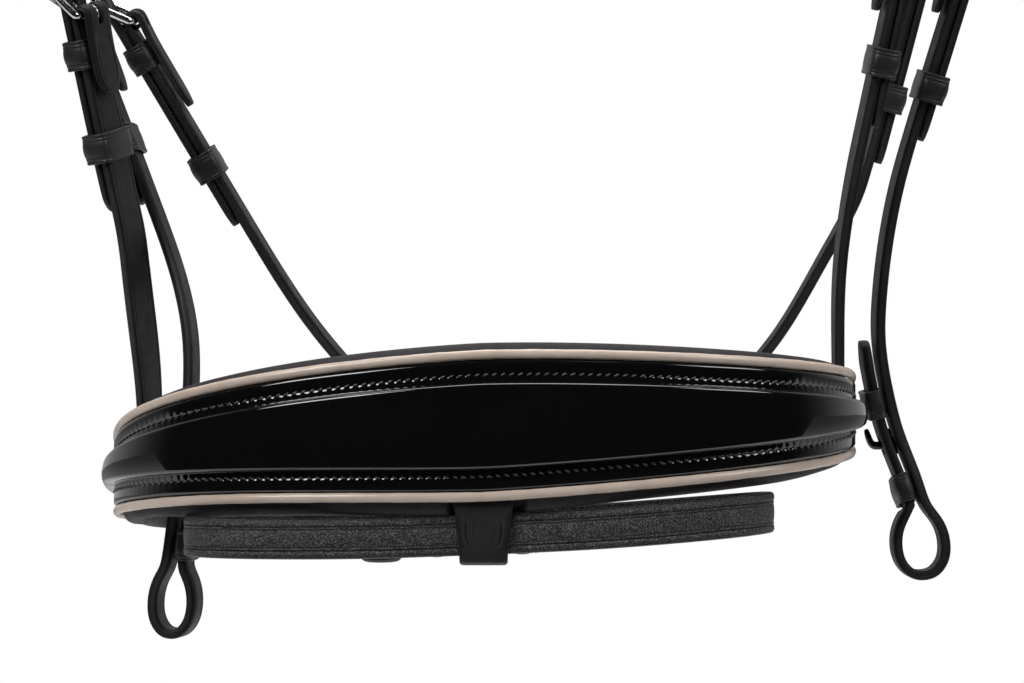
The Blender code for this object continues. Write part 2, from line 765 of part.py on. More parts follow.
def make_cheekpiece(name, site, lower, loop_half, lean):
    """A cheekpiece: its chape, its strap, the bit loop and the end folded back to the hook stud."""
    stations = site.chape_stations()
    side = math.copysign(1, site.origin.x)
    hang = Vector((side * math.sin(lean), 0, -math.cos(lean)))
    last_reach = (Vector(lower[-1]) - Vector(lower[-2])).normalized()
    curve = curve_through([site.end_of_straight()] + lower, -site.up, last_reach + hang)
    stations += turned(curve[1:], site.across, site.across, STRAP_WIDTH, STRAP_THICKNESS)
    back = STRAP_THICKNESS + 2 * GAP + STUD_PLATE
    moved = offset_line(stations, back)
    neck, across = stations[-1].place, moved[-1][1]
    across = (across - hang * across.dot(hang)).normalized()
    out = across.cross(hang)
    middle = neck - out * back / 2
    outer = [middle + out * (loop_half * wide) + hang * (LOOP_DROP * low) for wide, low in LOOP_SHARES]
    inner = [middle - out * (loop_half * wide) + hang * (LOOP_DROP * low)
             for wide, low in reversed(LOOP_SHARES)]
    stations += turned(outer + inner, across, across, STRAP_WIDTH, STRAP_THICKNESS)
    returned = fold_back(moved, RETURN_LENGTH)
    stations += returned
    strap = sweep(name, stations, leather())
    stud_place, stud_across, stud_along = line_at(moved, STUD_RISE)
    stud_out = stud_across.cross(stud_along)
    slot = box("cutter", stud_place, (stud_across, stud_along, stud_out),
               (2 * (STUD_RADIUS + GAP), STUD_SLOT_LENGTH, STRAP_THICKNESS + GAP))
    subtract(strap, [site.crew_hole(), slot])
    hand = name.split("_")[-1]
    make_stud("hook_stud_" + hand, stud_place, stud_across, -stud_along, stud_out)
    for label, rise in (("low", BIT_KEEPER_LOW), ("high", BIT_KEEPER_HIGH)):
        place, keeper_across, keeper_along = line_at(moved, rise)
        keeper_out = keeper_across.cross(keeper_along)
        keeper("bit_keeper_" + label + "_" + hand, place, (keeper_across, -keeper_out, keeper_along),
               STRAP_WIDTH + 2 * SLIDE_PLAY, STRAP_THICKNESS + 2 * SLIDE_PLAY, KEEPER_THIN_WALL)


def line_at(moved, rise):
    """Place and directions on a moved line, measured back up from its last station."""
    left = rise
    for index in range(len(moved) - 1, 0, -1):
        low, high = moved[index], moved[index - 1]
        length = (high[0] - low[0]).length
        if left <= length:
            share = left / length
            return low[0].lerp(high[0], share), low[1].lerp(high[1], share).normalized(), \
                (low[0] - high[0]).normalized()
        left -= length
    return moved[0]


def fold_back(moved, length):
    """Stations of the folded end, up the inner side from the neck to its rounded tip."""
    found = []
    total = 0.0
    for index in range(len(moved) - 1, -1, -1):
        if index < len(moved) - 1:
            total += (moved[index][0] - moved[index + 1][0]).length
        if total >= length - TIP_LENGTH:
            break
        found.append(Station(moved[index][0], moved[index][1], STRAP_WIDTH, STRAP_THICKNESS))
    for share, wide in TIP_SHARES:
        place, across, _ = line_at(moved, length - TIP_LENGTH * (1 - share))
        found.append(Station(place, across, STRAP_WIDTH * wide, STRAP_THICKNESS))
    return found


def make_stud(name, place, across, up, out):
    """A hook stud: a plate behind the strap, a stem through the folded end and a lipped hook."""
    plate_out = STRAP_THICKNESS / 2 + GAP
    hook_in = -STRAP_THICKNESS / 2 - GAP - STUD_RADIUS
    bend = STUD_RADIUS * 1.2
    wide = 2 * STUD_RADIUS
    steps = ((0, plate_out + STUD_PLATE, STUD_PLATE_WIDTH, STUD_PLATE_LENGTH),
             (0, plate_out, STUD_PLATE_WIDTH, STUD_PLATE_LENGTH),
             (0, plate_out - GAP / 2, wide, wide),
             (0, hook_in + STUD_RADIUS, wide, wide),
             (bend / 2, hook_in - bend / 2, wide, wide),
             (bend * 1.6, hook_in - bend * 0.7, wide * 1.3, wide * 0.8),
             (STUD_HOOK, hook_in - bend * 0.5, wide * 1.5, wide * 0.6))
    stations = [Station(place + up * rise + out * far, across, width, thickness)
                for rise, far, width, thickness in steps]
    return sweep(name, stations, steel(), rounded)


def make_throatlash(left, right):
    """The throatlash: a strap from the left buckle down under the jaw to the right buckle."""
    rear = RING_FRONT_Y + RING_DEPTH
    low = [Vector((x, rear + behind, z)) for x, behind, z in (
        THROAT_LOW_LEFT, THROAT_SAG_LEFT, THROAT_SAG, THROAT_SAG_RIGHT, THROAT_LOW_RIGHT,
        THROAT_MID_RIGHT)]
    points = [left.end_of_straight()] + low + [right.end_of_straight()]
    curve = curve_through(points, -left.up, right.up, 4)
    stations = left.chape_stations()
    stations += turned(curve[1:-1], left.across, -right.across, THROAT_WIDTH, STRAP_THICKNESS)
    rising = list(reversed(right.chape_stations()))
    for station in rising:
        station.across = -station.across
    stations += rising
    strap = sweep("throatlash", stations, leather())
    subtract(strap, [left.crew_hole(), right.crew_hole()])


SLIPHEAD_DEPTH = STRAP_THICKNESS + GAP
CROWN_LEVEL = PAD_UNDER + GAP + STRAP_THICKNESS + GAP + STRAP_THICKNESS / 2
CROWN_END = CROWN_LEVEL - CROWN_DROP - CROWN_LEG


def crown_line(depth, forward=0.0):
    """Places over the poll from the left leg's end to the right one's, depth inside the crown."""
    right = [Vector((0, 0, CROWN_LEVEL))]
    for step in range(CROWN_STEPS + 1):
        turn = math.pi / 2 * step / CROWN_STEPS
        x = CROWN_FLAT_HALF + (CROWN_HALF - CROWN_FLAT_HALF) * math.sin(turn) ** (2 / CROWN_POWER)
        z = CROWN_LEVEL - CROWN_DROP * (1 - max(math.cos(turn), 0) ** (2 / CROWN_POWER))
        right.append(Vector((x, 0, z)))
    right.append(Vector((CROWN_HALF, 0, CROWN_END)))
    line = [Vector((-place.x, 0, place.z)) for place in reversed(right[1:])] + right
    last = len(line) - 1
    moved = []
    for index, place in enumerate(line):
        before, after = line[max(index - 1, 0)], line[min(index + 1, last)]
        along = (after - before).normalized()
        inward = Vector((along.z, 0, -along.x))
        steps_out = abs(index - last // 2) - 1 - PAD_STEPS
        share = min(max(steps_out / (CROWN_STEPS - PAD_STEPS), 0), 1)
        deeper = depth + (SLIPHEAD_EASE * min(2 * share, 1) if forward else 0)
        swing = forward * share ** 2 * (3 - 2 * share)
        moved.append(place + inward * deeper - Vector((0, swing, 0)))
    return moved


def make_headpiece(sites):
    """The crown strap with its two tails on each side, which end in the buckles' billets."""
    backwards = Vector((0, -1, 0))
    crown = sweep("headpiece", turned(crown_line(0), backwards, backwards, CROWN_WIDTH,
                                      STRAP_THICKNESS), leather())
    tails, cutters = [], []
    for site in sites:
        side = math.copysign(1, site.origin.x)
        edge = CROWN_WIDTH / 2 - site.width / 2 - GAP
        level = -edge if "cheek" in site.name else edge
        top = Vector((side * CROWN_HALF, level, CROWN_END + TAIL_OVERLAP))
        end = Vector((side * CROWN_HALF, level, CROWN_END))
        billet = site.billet_stations()
        curve = curve_through([end, billet[0].place], Vector((0, 0, -1)), -site.up, 4)
        across = Vector((0, -side, 0))
        stations = [Station(top, across, site.width, BILLET_THICKNESS)]
        stations += turned(curve[:-1], across, site.across, site.width, BILLET_THICKNESS)
        tails.append(sweep("tail", stations + billet, leather()))
        cutters += site.billet_holes()
    unite(crown, tails)
    subtract(crown, cutters)


def make_sliphead(left, right):
    """The thin strap over the poll that carries the noseband by its two hangers."""
    arch = crown_line(SLIPHEAD_DEPTH, SLIPHEAD_FORWARD)
    backwards = Vector((0, -1, 0))
    rising = list(reversed(left.billet_stations()))
    for station in rising:
        station.across = -station.across
    up = curve_through([rising[-1].place, arch[0]], left.up, Vector((0, 0, 1)), 4)
    down = curve_through([arch[-1], right.billet_stations()[0].place], Vector((0, 0, -1)), -right.up, 4)
    stations = rising + turned(up[1:-1], backwards, backwards, STRAP_WIDTH, BILLET_THICKNESS)
    stations += turned(arch, backwards, backwards, STRAP_WIDTH, STRAP_THICKNESS)
    stations += turned(down[1:-1], backwards, backwards, STRAP_WIDTH, BILLET_THICKNESS)
    strap = sweep("sliphead", stations + right.billet_stations(), leather())
    subtract(strap, left.billet_holes() + right.billet_holes())


def make_crown_pad():
    """The soft pad under the crown, with a channel for the sliphead."""
    backwards = Vector((0, -1, 0))
    outer = STRAP_THICKNESS / 2 + GAP
    inner = CROWN_LEVEL
    line = crown_line((outer + inner) / 2)
    ends = CROWN_STEPS - PAD_STEPS + 1
    places = line[ends:len(line) - ends]
    places[0] = places[0].lerp(line[ends - 1], PAD_END_SHARE)
    places[-1] = places[-1].lerp(line[len(line) - ends], PAD_END_SHARE)
    pad = sweep("crown_pad", turned(places, backwards, backwards, PAD_WIDTH, inner - outer),
                soft_leather(), pad_roll)
    floor = SLIPHEAD_DEPTH + STRAP_THICKNESS / 2 + GAP
    channel = crown_line(floor - (floor - outer + OVERRUN / 2) / 2, SLIPHEAD_FORWARD)
    channel = channel[ends - 1:len(channel) - ends + 1]
    cutter = sweep("cutter", turned(channel, backwards, backwards, STRAP_WIDTH + 2 * GAP,
                                    floor - outer + OVERRUN / 2), leather(), plain)
    subtract(pad, [cutter])


def plain(width, thickness):
    half, deep = width / 2, thickness / 2
    return [(half, -deep), (half, deep), (-half, deep), (-half, -deep)]


def make_browband():
    """The band across the forehead; its ends loop round the headpiece and the sliphead."""
    outer = CROWN_HALF + STRAP_THICKNESS + BROWBAND_PLAY
    inner = CROWN_HALF - SLIPHEAD_DEPTH - STRAP_THICKNESS - BROWBAND_PLAY
    rear = CROWN_WIDTH / 2 + BROWBAND_PLAY
    front = -SLIPHEAD_FORWARD - STRAP_WIDTH / 2 - BROWBAND_PLAY - STRAP_THICKNESS / 2
    start = front - BROWBAND_NECK
    across_gap = outer - inner
    lap = outer - STRAP_THICKNESS - GAP
    right = [(lap, start - BROWBAND_LAP), (lap, start), (inner, front), (inner, rear)]
    for wide, back in BROWBAND_BULGE_SHARES:
        right.append((inner + across_gap * wide, rear + across_gap * back))
    right += [(outer, rear), (outer, start), (outer, start - BROWBAND_LAP)]
    reach = BROWBAND_REACH - BROWBAND_LAP
    for step in range(1, BROWBAND_STEPS):
        turn = math.pi / 2 * step / BROWBAND_STEPS
        right.append((outer * math.cos(turn) ** (2 / CROWN_POWER),
                      start - BROWBAND_LAP - reach * math.sin(turn) ** (2 / CROWN_POWER)))
    plan = right + [(0, start - BROWBAND_REACH)] + [(-x, y) for x, y in reversed(right)]
    upright = Vector((0, 0, 1))
    places = [Vector((x, y, BROWBAND_LEVEL)) for x, y in plan]
    band = sweep("browband", turned(places, upright, upright, BROWBAND_HEIGHT, STRAP_THICKNESS),
                 leather())
    put_origin(band, Vector((0, 0, BROWBAND_LEVEL)))


def ring_height(x, y):
    """Level of the noseband's line at a place in plan; it leans more towards the ring's rear."""
    back = (y - RING_FRONT_Y) / RING_DEPTH
    lean = RING_ROLL_SHARE + RING_TWIST_SHARE * back
    return RING_LEVEL + lean * (x - RING_CENTRE_X) - RING_DROP * back


def chin_site():
    rear = RING_FRONT_Y + RING_DEPTH
    end_x = CHIN_BAR_X - CHIN_STRAIGHT
    bar = (CHIN_BAR_X, rear, ring_height(CHIN_BAR_X, rear))
    end = (end_x, rear, ring_height(end_x, rear))
    return Site("chin_buckle", bar, end, (0, 1, 0), CHIN_WIDTH, SMALL_CHAPE, SMALL_RUNNER, SMALL_BILLET)


def chin_stations(ring, side):
    """The end of a chin strap that lies inside the padded noseband, from its open end inwards."""
    start = NOSE_HALF_LENGTH * CHIN_START_SHARE
    arcs = [start] + [arc for arc in nose_arcs(NOSE_HALF_LENGTH) if arc > start]
    arcs += [NOSE_HALF_LENGTH + CHIN_RUN, NOSE_HALF_LENGTH + 2 * CHIN_RUN]
    found = []
    for arc in reversed(arcs):
        station = ring.station(side * arc, -CHIN_INSET, 0, CHIN_WIDTH, STRAP_THICKNESS)
        station.across = -station.across
        found.append(station)
    return found


def make_chin_straps(ring, site):
    """The strap with the buckle from the left end, and the strap with the billet from the right."""
    down = Vector((0, 0, -1))
    seated = chin_stations(ring, -1)
    curve = curve_through([site.end_of_straight(), seated[0].place], -site.up,
                          seated[1].place - seated[0].place, 4)
    stations = site.chape_stations() + turned(curve[1:-1], down, down, CHIN_WIDTH, STRAP_THICKNESS)
    chape = sweep("noseband_chape", stations + seated, leather())
    subtract(chape, [site.crew_hole()])
    seated = list(reversed(chin_stations(ring, 1)))
    billet = site.billet_stations()
    curve = curve_through([seated[-1].place, billet[0].place],
                          seated[-1].place - seated[-2].place, -site.up, 5)
    stations = seated + turned(curve[1:-1], down, down, CHIN_WIDTH, BILLET_THICKNESS)
    strap = sweep("noseband_chin_strap", stations + billet, leather())
    subtract(strap, site.billet_holes())


def chin_pocket(ring, side):
    """Cutter of the room for a chin strap's end in the front of the lining."""
    floor = -STRAP_THICKNESS / 2 - CHIN_INSET - GAP
    top = LINING_OUT + OVERRUN
    start = NOSE_HALF_LENGTH * CHIN_START_SHARE
    arcs = [start - GAP] + [arc for arc in nose_arcs(NOSE_HALF_LENGTH) if arc > start]
    arcs.append(NOSE_HALF_LENGTH + OVERRUN)
    stations = [ring.station(side * arc, (floor + top) / 2, 0, CHIN_WIDTH + 2 * GAP, top - floor)
                for arc in arcs]
    return sweep("cutter", stations, leather(), plain)


LOOP_FRONT = STRAP_THICKNESS / 2 - FLASH_LOOP_THICKNESS / 2
LOOP_BACK = LINING_IN - GAP - FLASH_LOOP_THICKNESS / 2
FLASH_OUT = LOOP_FRONT - FLASH_LOOP_THICKNESS / 2 - SLIDE_PLAY - STRAP_THICKNESS / 2


def make_flash_loop(ring):
    """The tapered loop sewn under the noseband's front, which carries the flash strap."""
    place = ring.at(0)[0]
    low = FLASH_LEVEL - FLASH_WIDTH / 2 - SLIDE_PLAY - FLASH_LOOP_THICKNESS / 2
    top = place.z - NOSE_HEIGHT * HANGER_FOOT_SHARE
    corner = FLASH_LOOP_CORNER
    back_top = place.z - NOSE_HEIGHT / 2 + FLASH_LOOP_BACK_RISE / 2
    narrow = FLASH_LOOP_BOTTOM_WIDTH
    path = [(LOOP_FRONT, top, FLASH_LOOP_TOP_WIDTH), (LOOP_FRONT, (top + low) / 2, None),
            (LOOP_FRONT, low + corner, narrow), (LOOP_FRONT - corner * 0.3, low + corner * 0.3, narrow),
            (LOOP_FRONT - corner, low, narrow), (LOOP_BACK + corner, low, narrow),
            (LOOP_BACK + corner * 0.3, low + corner * 0.3, narrow), (LOOP_BACK, low + corner, narrow),
            (LOOP_BACK, back_top, narrow)]
    sideways = Vector((-1, 0, 0))
    stations = []
    for out, level, width in path:
        width = width or (FLASH_LOOP_TOP_WIDTH + narrow) / 2
        stations.append(Station((place.x, RING_FRONT_Y - out, level), sideways, width,
                                FLASH_LOOP_THICKNESS))
    sweep("flash_loop", stations, leather())
    height = top - low
    centre = Vector((place.x, RING_FRONT_Y, (top + low) / 2 + GAP))
    axes = (Vector((1, 0, 0)), Vector((0, 0, 1)), Vector((0, -1, 0)))
    return pocket(centre, axes, FLASH_LOOP_TOP_WIDTH, height)


def flash_level(x):
    """Level of the flash strap, which sags in the middle and rises to the right."""
    share = (x - FLASH_CENTRE_X) / FLASH_HALF
    return FLASH_LEVEL + FLASH_TILT * share + FLASH_LIFT * share ** 2


def flash_site():
    far = RING_FRONT_Y - FLASH_OUT + FLASH_DEPTH
    end_x = FLASH_BAR_X + FLASH_STRAIGHT
    bar = (FLASH_BAR_X, far, flash_level(FLASH_BAR_X))
    end = (end_x, far, flash_level(end_x))
    return Site("flash_buckle", bar, end, (0, 1, 0), FLASH_WIDTH, SMALL_CHAPE, SMALL_RUNNER, SMALL_BILLET)


def make_flash_strap(site):
    """The strap through the flash loop, buckled behind to a flat ring."""
    near = RING_FRONT_Y - FLASH_OUT
    middle = near + FLASH_DEPTH / 2
    shares = FLASH_PLAN_SHARES
    plan = list(shares[1:]) + [(wide, -deep) for wide, deep in shares[-2::-1]]
    plan += [(-wide, -deep) for wide, deep in shares[:-1]] + [(-wide, deep) for wide, deep in shares[:1:-1]]
    points = [site.end_of_straight()]
    for wide, deep in plan:
        x = FLASH_CENTRE_X + FLASH_HALF * wide
        points.append(Vector((x, middle + FLASH_DEPTH / 2 * deep, flash_level(x))))
    billet = site.billet_stations()
    points.append(billet[0].place)
    curve = curve_through(points, -site.up, -site.up, 2)
    upright = Vector((0, 0, 1))
    stations = site.chape_stations() + turned(curve[1:-1], upright, upright, FLASH_WIDTH, STRAP_THICKNESS)
    strap = sweep("flash_strap", stations + billet, leather())
    subtract(strap, [site.crew_hole()] + site.billet_holes())
    put_origin(strap, Vector((FLASH_CENTRE_X, near, FLASH_LEVEL)))


def side_site(name, bar, straight_end, turn, width, lengths):
    side = math.copysign(1, bar[0])
    hint = (side * math.cos(turn), math.sin(turn), 0)
    return Site(name, bar, straight_end, hint, width, *lengths)


def all_sites():
    """The eight buckles by name."""
    cheek = (CHEEK_CHAPE, CHEEK_RUNNER, CHEEK_BILLET)
    cheek_right = (CHEEK_CHAPE, CHEEK_RIGHT_RUNNER, CHEEK_RIGHT_BILLET)
    throat = (THROAT_CHAPE, THROAT_RUNNER, THROAT_BILLET)
    sites = [
        side_site("hanger_buckle_left", HANGER_LEFT_BAR, HANGER_LEFT_STRAIGHT, HANGER_LEFT_TURN,
                  STRAP_WIDTH, cheek),
        side_site("hanger_buckle_right", HANGER_RIGHT_BAR, HANGER_RIGHT_STRAIGHT, HANGER_RIGHT_TURN,
                  STRAP_WIDTH, cheek),
        side_site("cheek_buckle_left", CHEEK_LEFT_BAR, CHEEK_LEFT_STRAIGHT, CHEEK_LEFT_TURN,
                  STRAP_WIDTH, cheek),
        side_site("cheek_buckle_right", CHEEK_RIGHT_BAR, CHEEK_RIGHT_STRAIGHT, CHEEK_RIGHT_TURN,
                  STRAP_WIDTH, cheek_right),
        side_site("throat_buckle_left", THROAT_LEFT_BAR, THROAT_LEFT_STRAIGHT, THROAT_TURN,
                  THROAT_WIDTH, throat),
        side_site("throat_buckle_right", THROAT_RIGHT_BAR, THROAT_RIGHT_STRAIGHT, THROAT_TURN,
                  THROAT_WIDTH, throat),
        chin_site(),
        flash_site(),
    ]
    return {site.name: site for site in sites}


def make_noseband(ring, sites):
    """The padded front of the noseband with its hangers, chin straps and flash loop."""
    feet = [Foot(ring, -NOSE_HALF_LENGTH * HANGER_LEFT_SHARE),
            Foot(ring, NOSE_HALF_LENGTH * HANGER_RIGHT_SHARE)]
    make_hanger("hanger_left", sites["hanger_buckle_left"], HANGER_LEFT_MID, feet[0])
    make_hanger("hanger_right", sites["hanger_buckle_right"], HANGER_RIGHT_MID, feet[1])
    make_facing(ring)
    make_raised_centre(ring)
    make_piping(ring, "noseband_piping_upper", 1)
    make_piping(ring, "noseband_piping_lower", -1)
    make_chin_straps(ring, sites["chin_buckle"])
    pockets = [foot.pocket() for foot in feet]
    pockets += [make_flash_loop(ring), chin_pocket(ring, -1), chin_pocket(ring, 1)]
    make_lining(ring, pockets)


def main():
    """Build every piece of the bridle."""
    for old in list(bpy.data.objects):
        bpy.data.objects.remove(old)
    sites = all_sites()
    cheek_left, cheek_right = sites["cheek_buckle_left"], sites["cheek_buckle_right"]
    throat_left, throat_right = sites["throat_buckle_left"], sites["throat_buckle_right"]
    make_headpiece([cheek_left, cheek_right, throat_left, throat_right])
    make_sliphead(sites["hanger_buckle_left"], sites["hanger_buckle_right"])
    make_crown_pad()
    make_browband()
    make_cheekpiece("cheekpiece_left", cheek_left, [CHEEK_LEFT_MID, CHEEK_LEFT_NECK],
                    LOOP_LEFT_HALF, LOOP_LEFT_LEAN)
    make_cheekpiece("cheekpiece_right", cheek_right,
                    [CHEEK_RIGHT_MID, CHEEK_RIGHT_LOW, CHEEK_RIGHT_NECK],
                    LOOP_RIGHT_HALF, LOOP_RIGHT_LEAN)
    make_throatlash(throat_left, throat_right)
    make_noseband(NoseRing(), sites)
    make_flash_strap(sites["flash_buckle"])
    for site in sites.values():
        site.make_hardware()
    for piece in bpy.data.objects:
        piece.data.shade_smooth()
        piece.data.set_sharp_from_angle(angle=SHARP_ANGLE)


if __name__ == "__main__":
    main()
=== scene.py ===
"""The looks of an English bridle: satin bridle leather, a patent noseband with cream piping, steel."""

import bisect
import json
import logging
import math
from dataclasses import dataclass, field
from enum import Enum
from typing import Sequence

import bmesh
import bpy
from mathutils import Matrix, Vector, noise

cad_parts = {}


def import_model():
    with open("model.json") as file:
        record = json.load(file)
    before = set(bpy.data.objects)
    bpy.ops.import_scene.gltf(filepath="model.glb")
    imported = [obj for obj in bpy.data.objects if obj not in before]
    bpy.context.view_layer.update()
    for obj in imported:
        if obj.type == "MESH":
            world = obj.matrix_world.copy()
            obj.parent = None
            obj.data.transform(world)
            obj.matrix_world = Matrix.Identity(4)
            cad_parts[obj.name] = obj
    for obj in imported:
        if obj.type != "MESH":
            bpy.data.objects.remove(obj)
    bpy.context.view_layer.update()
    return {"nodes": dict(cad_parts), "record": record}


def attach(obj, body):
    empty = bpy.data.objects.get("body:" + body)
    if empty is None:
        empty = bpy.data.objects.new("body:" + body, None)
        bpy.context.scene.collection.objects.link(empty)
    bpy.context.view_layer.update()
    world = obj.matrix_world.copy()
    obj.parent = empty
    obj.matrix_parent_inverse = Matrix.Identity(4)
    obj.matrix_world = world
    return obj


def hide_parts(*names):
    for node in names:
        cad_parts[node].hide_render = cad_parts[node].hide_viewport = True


LOG = logging.getLogger("bridle")
Colour = tuple[float, float, float]
Material = bpy.types.Material
Object = bpy.types.Object
Socket = bpy.types.NodeSocket
Grid = bmesh.types.BMesh
Corner = bmesh.types.BMVert
Rung = tuple[Corner, Corner]
Rungs = tuple[Rung, Rung]
WHITE = (1.0, 1.0, 1.0, 1.0)
# The UV layer that holds each corner's distances to its strap's two edges, and its value elsewhere.
MARGIN = "margin"
NO_MARGIN = 0.5
# Corners nearer than this are one, in metres.
WELD = 1e-6
# Places and depths in metres of the points of a pressed line, counted from a strap's or band's edge.
STRAP_CREASES = ((0.0010, 0.0), (0.0014, 0.00024), (0.0018, 0.0))
FLASH_CREASES = ((0.0013, 0.0), (0.0018, 0.00034), (0.00225, 0.0), (0.0027, 0.00034), (0.0032, 0.0))
EMBOSSING = ((0.0008, 0.0), (0.0012, 0.00035), (0.0016, 0.0), (0.0021, 0.00028), (0.0026, 0.0))
# Where the points across the raised centre's face lie, as shares of half its height.
FACE_SHARES = (-1.0, -0.97, -0.8, -0.6, -0.4, -0.2, 0.0, 0.2, 0.4, 0.6, 0.8, 0.97, 1.0)
# Places along a stitch as shares of its length, each with its share of the thickness.
STITCH_RINGS = ((-0.5, 0.45), (-0.32, 0.9), (0.0, 1.0), (0.32, 0.9), (0.5, 0.45))


class Slot(Enum):
    """The record's material slots."""

    LEATHER = "black_leather"
    PATENT = "patent_leather"
    PIPING = "cream_piping"
    LINING = "soft_lining"
    STEEL = "stainless_steel"


class NodeGraph:
    """A material's or a world's shader graph, with short calls for the nodes that they share."""

    def __init__(self, owner: Material | bpy.types.World) -> None:
        """Take a graph as it is when it is new.

        Args:
            owner: The material or world.
        """
        owner.use_nodes = True
        self.owner = owner
        self.tree = owner.node_tree
        self.shader = self.tree.nodes.get("Principled BSDF")

    def put(self, target: Socket, value: object) -> None:
        """Join an output to an input, or set the input to a constant.

        Args:
            target: The input.
            value: The output or the constant.
        """
        if isinstance(value, Socket):
            self.tree.links.new(value, target)
        else:
            target.default_value = value

    def add(self, kind: str, *values: object, **settings: object) -> bpy.types.Node:
        """Add a node, set its plain properties and fill its first inputs.

        Args:
            kind: The node's type name.
            *values: Outputs or constants, in the order of the inputs.
            **settings: Properties of the node by name.

        Returns:
            The new node.
        """
        node = self.tree.nodes.new(kind)
        for name, value in settings.items():
            setattr(node, name, value)
        for target, value in zip(node.inputs, values):
            self.put(target, value)
        return node

    def fill(self, node: bpy.types.Node, **values: object) -> bpy.types.Node:
        """Fill a node's inputs.

        Args:
            node: The node.
            **values: Outputs or constants by input; an underscore stands for a space.

        Returns:
            The node.
        """
        for name, value in values.items():
            self.put(node.inputs[name.replace("_", " ")], value)
        return node

    def places(self) -> Socket:
        """Return the piece's own coordinates in metres."""
        return self.add("ShaderNodeTexCoord").outputs["Object"]

    def noise(self, scale: float, detail: float, roughness: float = 0.5) -> Socket:
        """Return a noise: its spots to a metre, its octaves, and how strong the small ones are."""
        node = self.add("ShaderNodeTexNoise", self.places())
        return self.fill(node, Scale=scale, Detail=detail, Roughness=roughness).outputs["Fac"]

    def cells(self, scale: float) -> Socket:
        """Return the distance to the nearest of many cells, a number to a metre, as in a grain."""
        node = self.add("ShaderNodeTexVoronoi", self.places(), feature="F1")
        return self.fill(node, Scale=scale).outputs["Distance"]

    def span(self, value: Socket, low: float, high: float, first: float = 0.0,
             last: float = 1.0, kind: str = "LINEAR") -> Socket:
        """Map a value from one range to another, with its ends held; a kind names its easing."""
        return self.add("ShaderNodeMapRange", value, low, high, first, last,
                        interpolation_type=kind).outputs[0]

    def blend(self, share: Socket, first: Colour, last: Colour) -> Socket:
        """Mix two colours by a share.

        Args:
            share: The share of the last colour.
            first: Colour at 0.
            last: Colour at 1.

        Returns:
            The mixed colour.
        """
        node = self.add("ShaderNodeMix", share, data_type="RGBA")
        self.put(node.inputs[6], (*first, 1.0))
        self.put(node.inputs[7], (*last, 1.0))
        return node.outputs[2]

    def paint_hollow_shade(self, colour: Socket, height: Socket) -> Socket:
        """Darken a colour where a relief lies low, as painted shade in its hollows.

        Args:
            colour: The colour.
            height: The relief's height, from 0 to 1.

        Returns:
            The colour with painted shade.
        """
        node = self.add("ShaderNodeMix", 1.0, data_type="RGBA", blend_type="MULTIPLY")
        self.put(node.inputs[6], colour)
        self.put(node.inputs[7], height)
        return node.outputs[2]

    def crease(self, place: float, width: float) -> Socket:
        """Draw two embossed lines along a strap's edges.

        Args:
            place: Distance of the outer line from the edge.
            width: Width of each line.

        Returns:
            A height from 0 in the lines to 1 beside them.
        """
        margins = self.add("ShaderNodeUVMap", uv_map=MARGIN).outputs[0]
        parts = self.add("ShaderNodeSeparateXYZ", margins).outputs
        nearest = self.add("ShaderNodeMath", parts[0], parts[1], operation="MINIMUM")
        reach = place + 6 * width
        ramp = self.add("ShaderNodeValToRGB", self.span(nearest.outputs[0], 0.0, reach))
        ramp.color_ramp.interpolation = "EASE"
        stops = ((0.0, 0.35), (place * 0.45, 0.95), (place - width, 1.0), (place, 0.0),
                 (place + width, 0.85), (place + 2.2 * width, 0.85), (place + 3.2 * width, 0.3),
                 (place + 4.2 * width, 0.8))
        for index, (where, height) in enumerate(stops):
            stop = (ramp.color_ramp.elements[index] if index < 2
                    else ramp.color_ramp.elements.new(where / reach))
            stop.position = where / reach
            stop.color = (height, height, height, 1.0)
        return ramp.outputs[0]

    def bump(self, height: Socket, depth: float, strength: float,
             below: Socket | None = None) -> Socket:
        """Add a relief.

        Args:
            height: The relief's height.
            depth: Metres that a height of 1 stands for.
            strength: How strongly it shows.
            below: Normal of a relief under this one.

        Returns:
            The normal.
        """
        node = self.add("ShaderNodeBump")
        self.fill(node, Strength=strength, Distance=depth, Height=height)
        if below is not None:
            self.fill(node, Normal=below)
        return node.outputs["Normal"]

    def white_for_sight(self, plain: Socket, bright: Socket) -> Socket:
        """Choose the bright shader for rays from the camera and rays through something clear.

        Args:
            plain: Shader that lights the object.
            bright: Shader that is seen.

        Returns:
            The mixed shader.
        """
        path = self.add("ShaderNodeLightPath").outputs
        seen = self.add("ShaderNodeMath", path["Is Camera Ray"], path["Is Transmission Ray"],
                        operation="MAXIMUM")
        return self.add("ShaderNodeMixShader", seen.outputs[0], plain, bright).outputs[0]


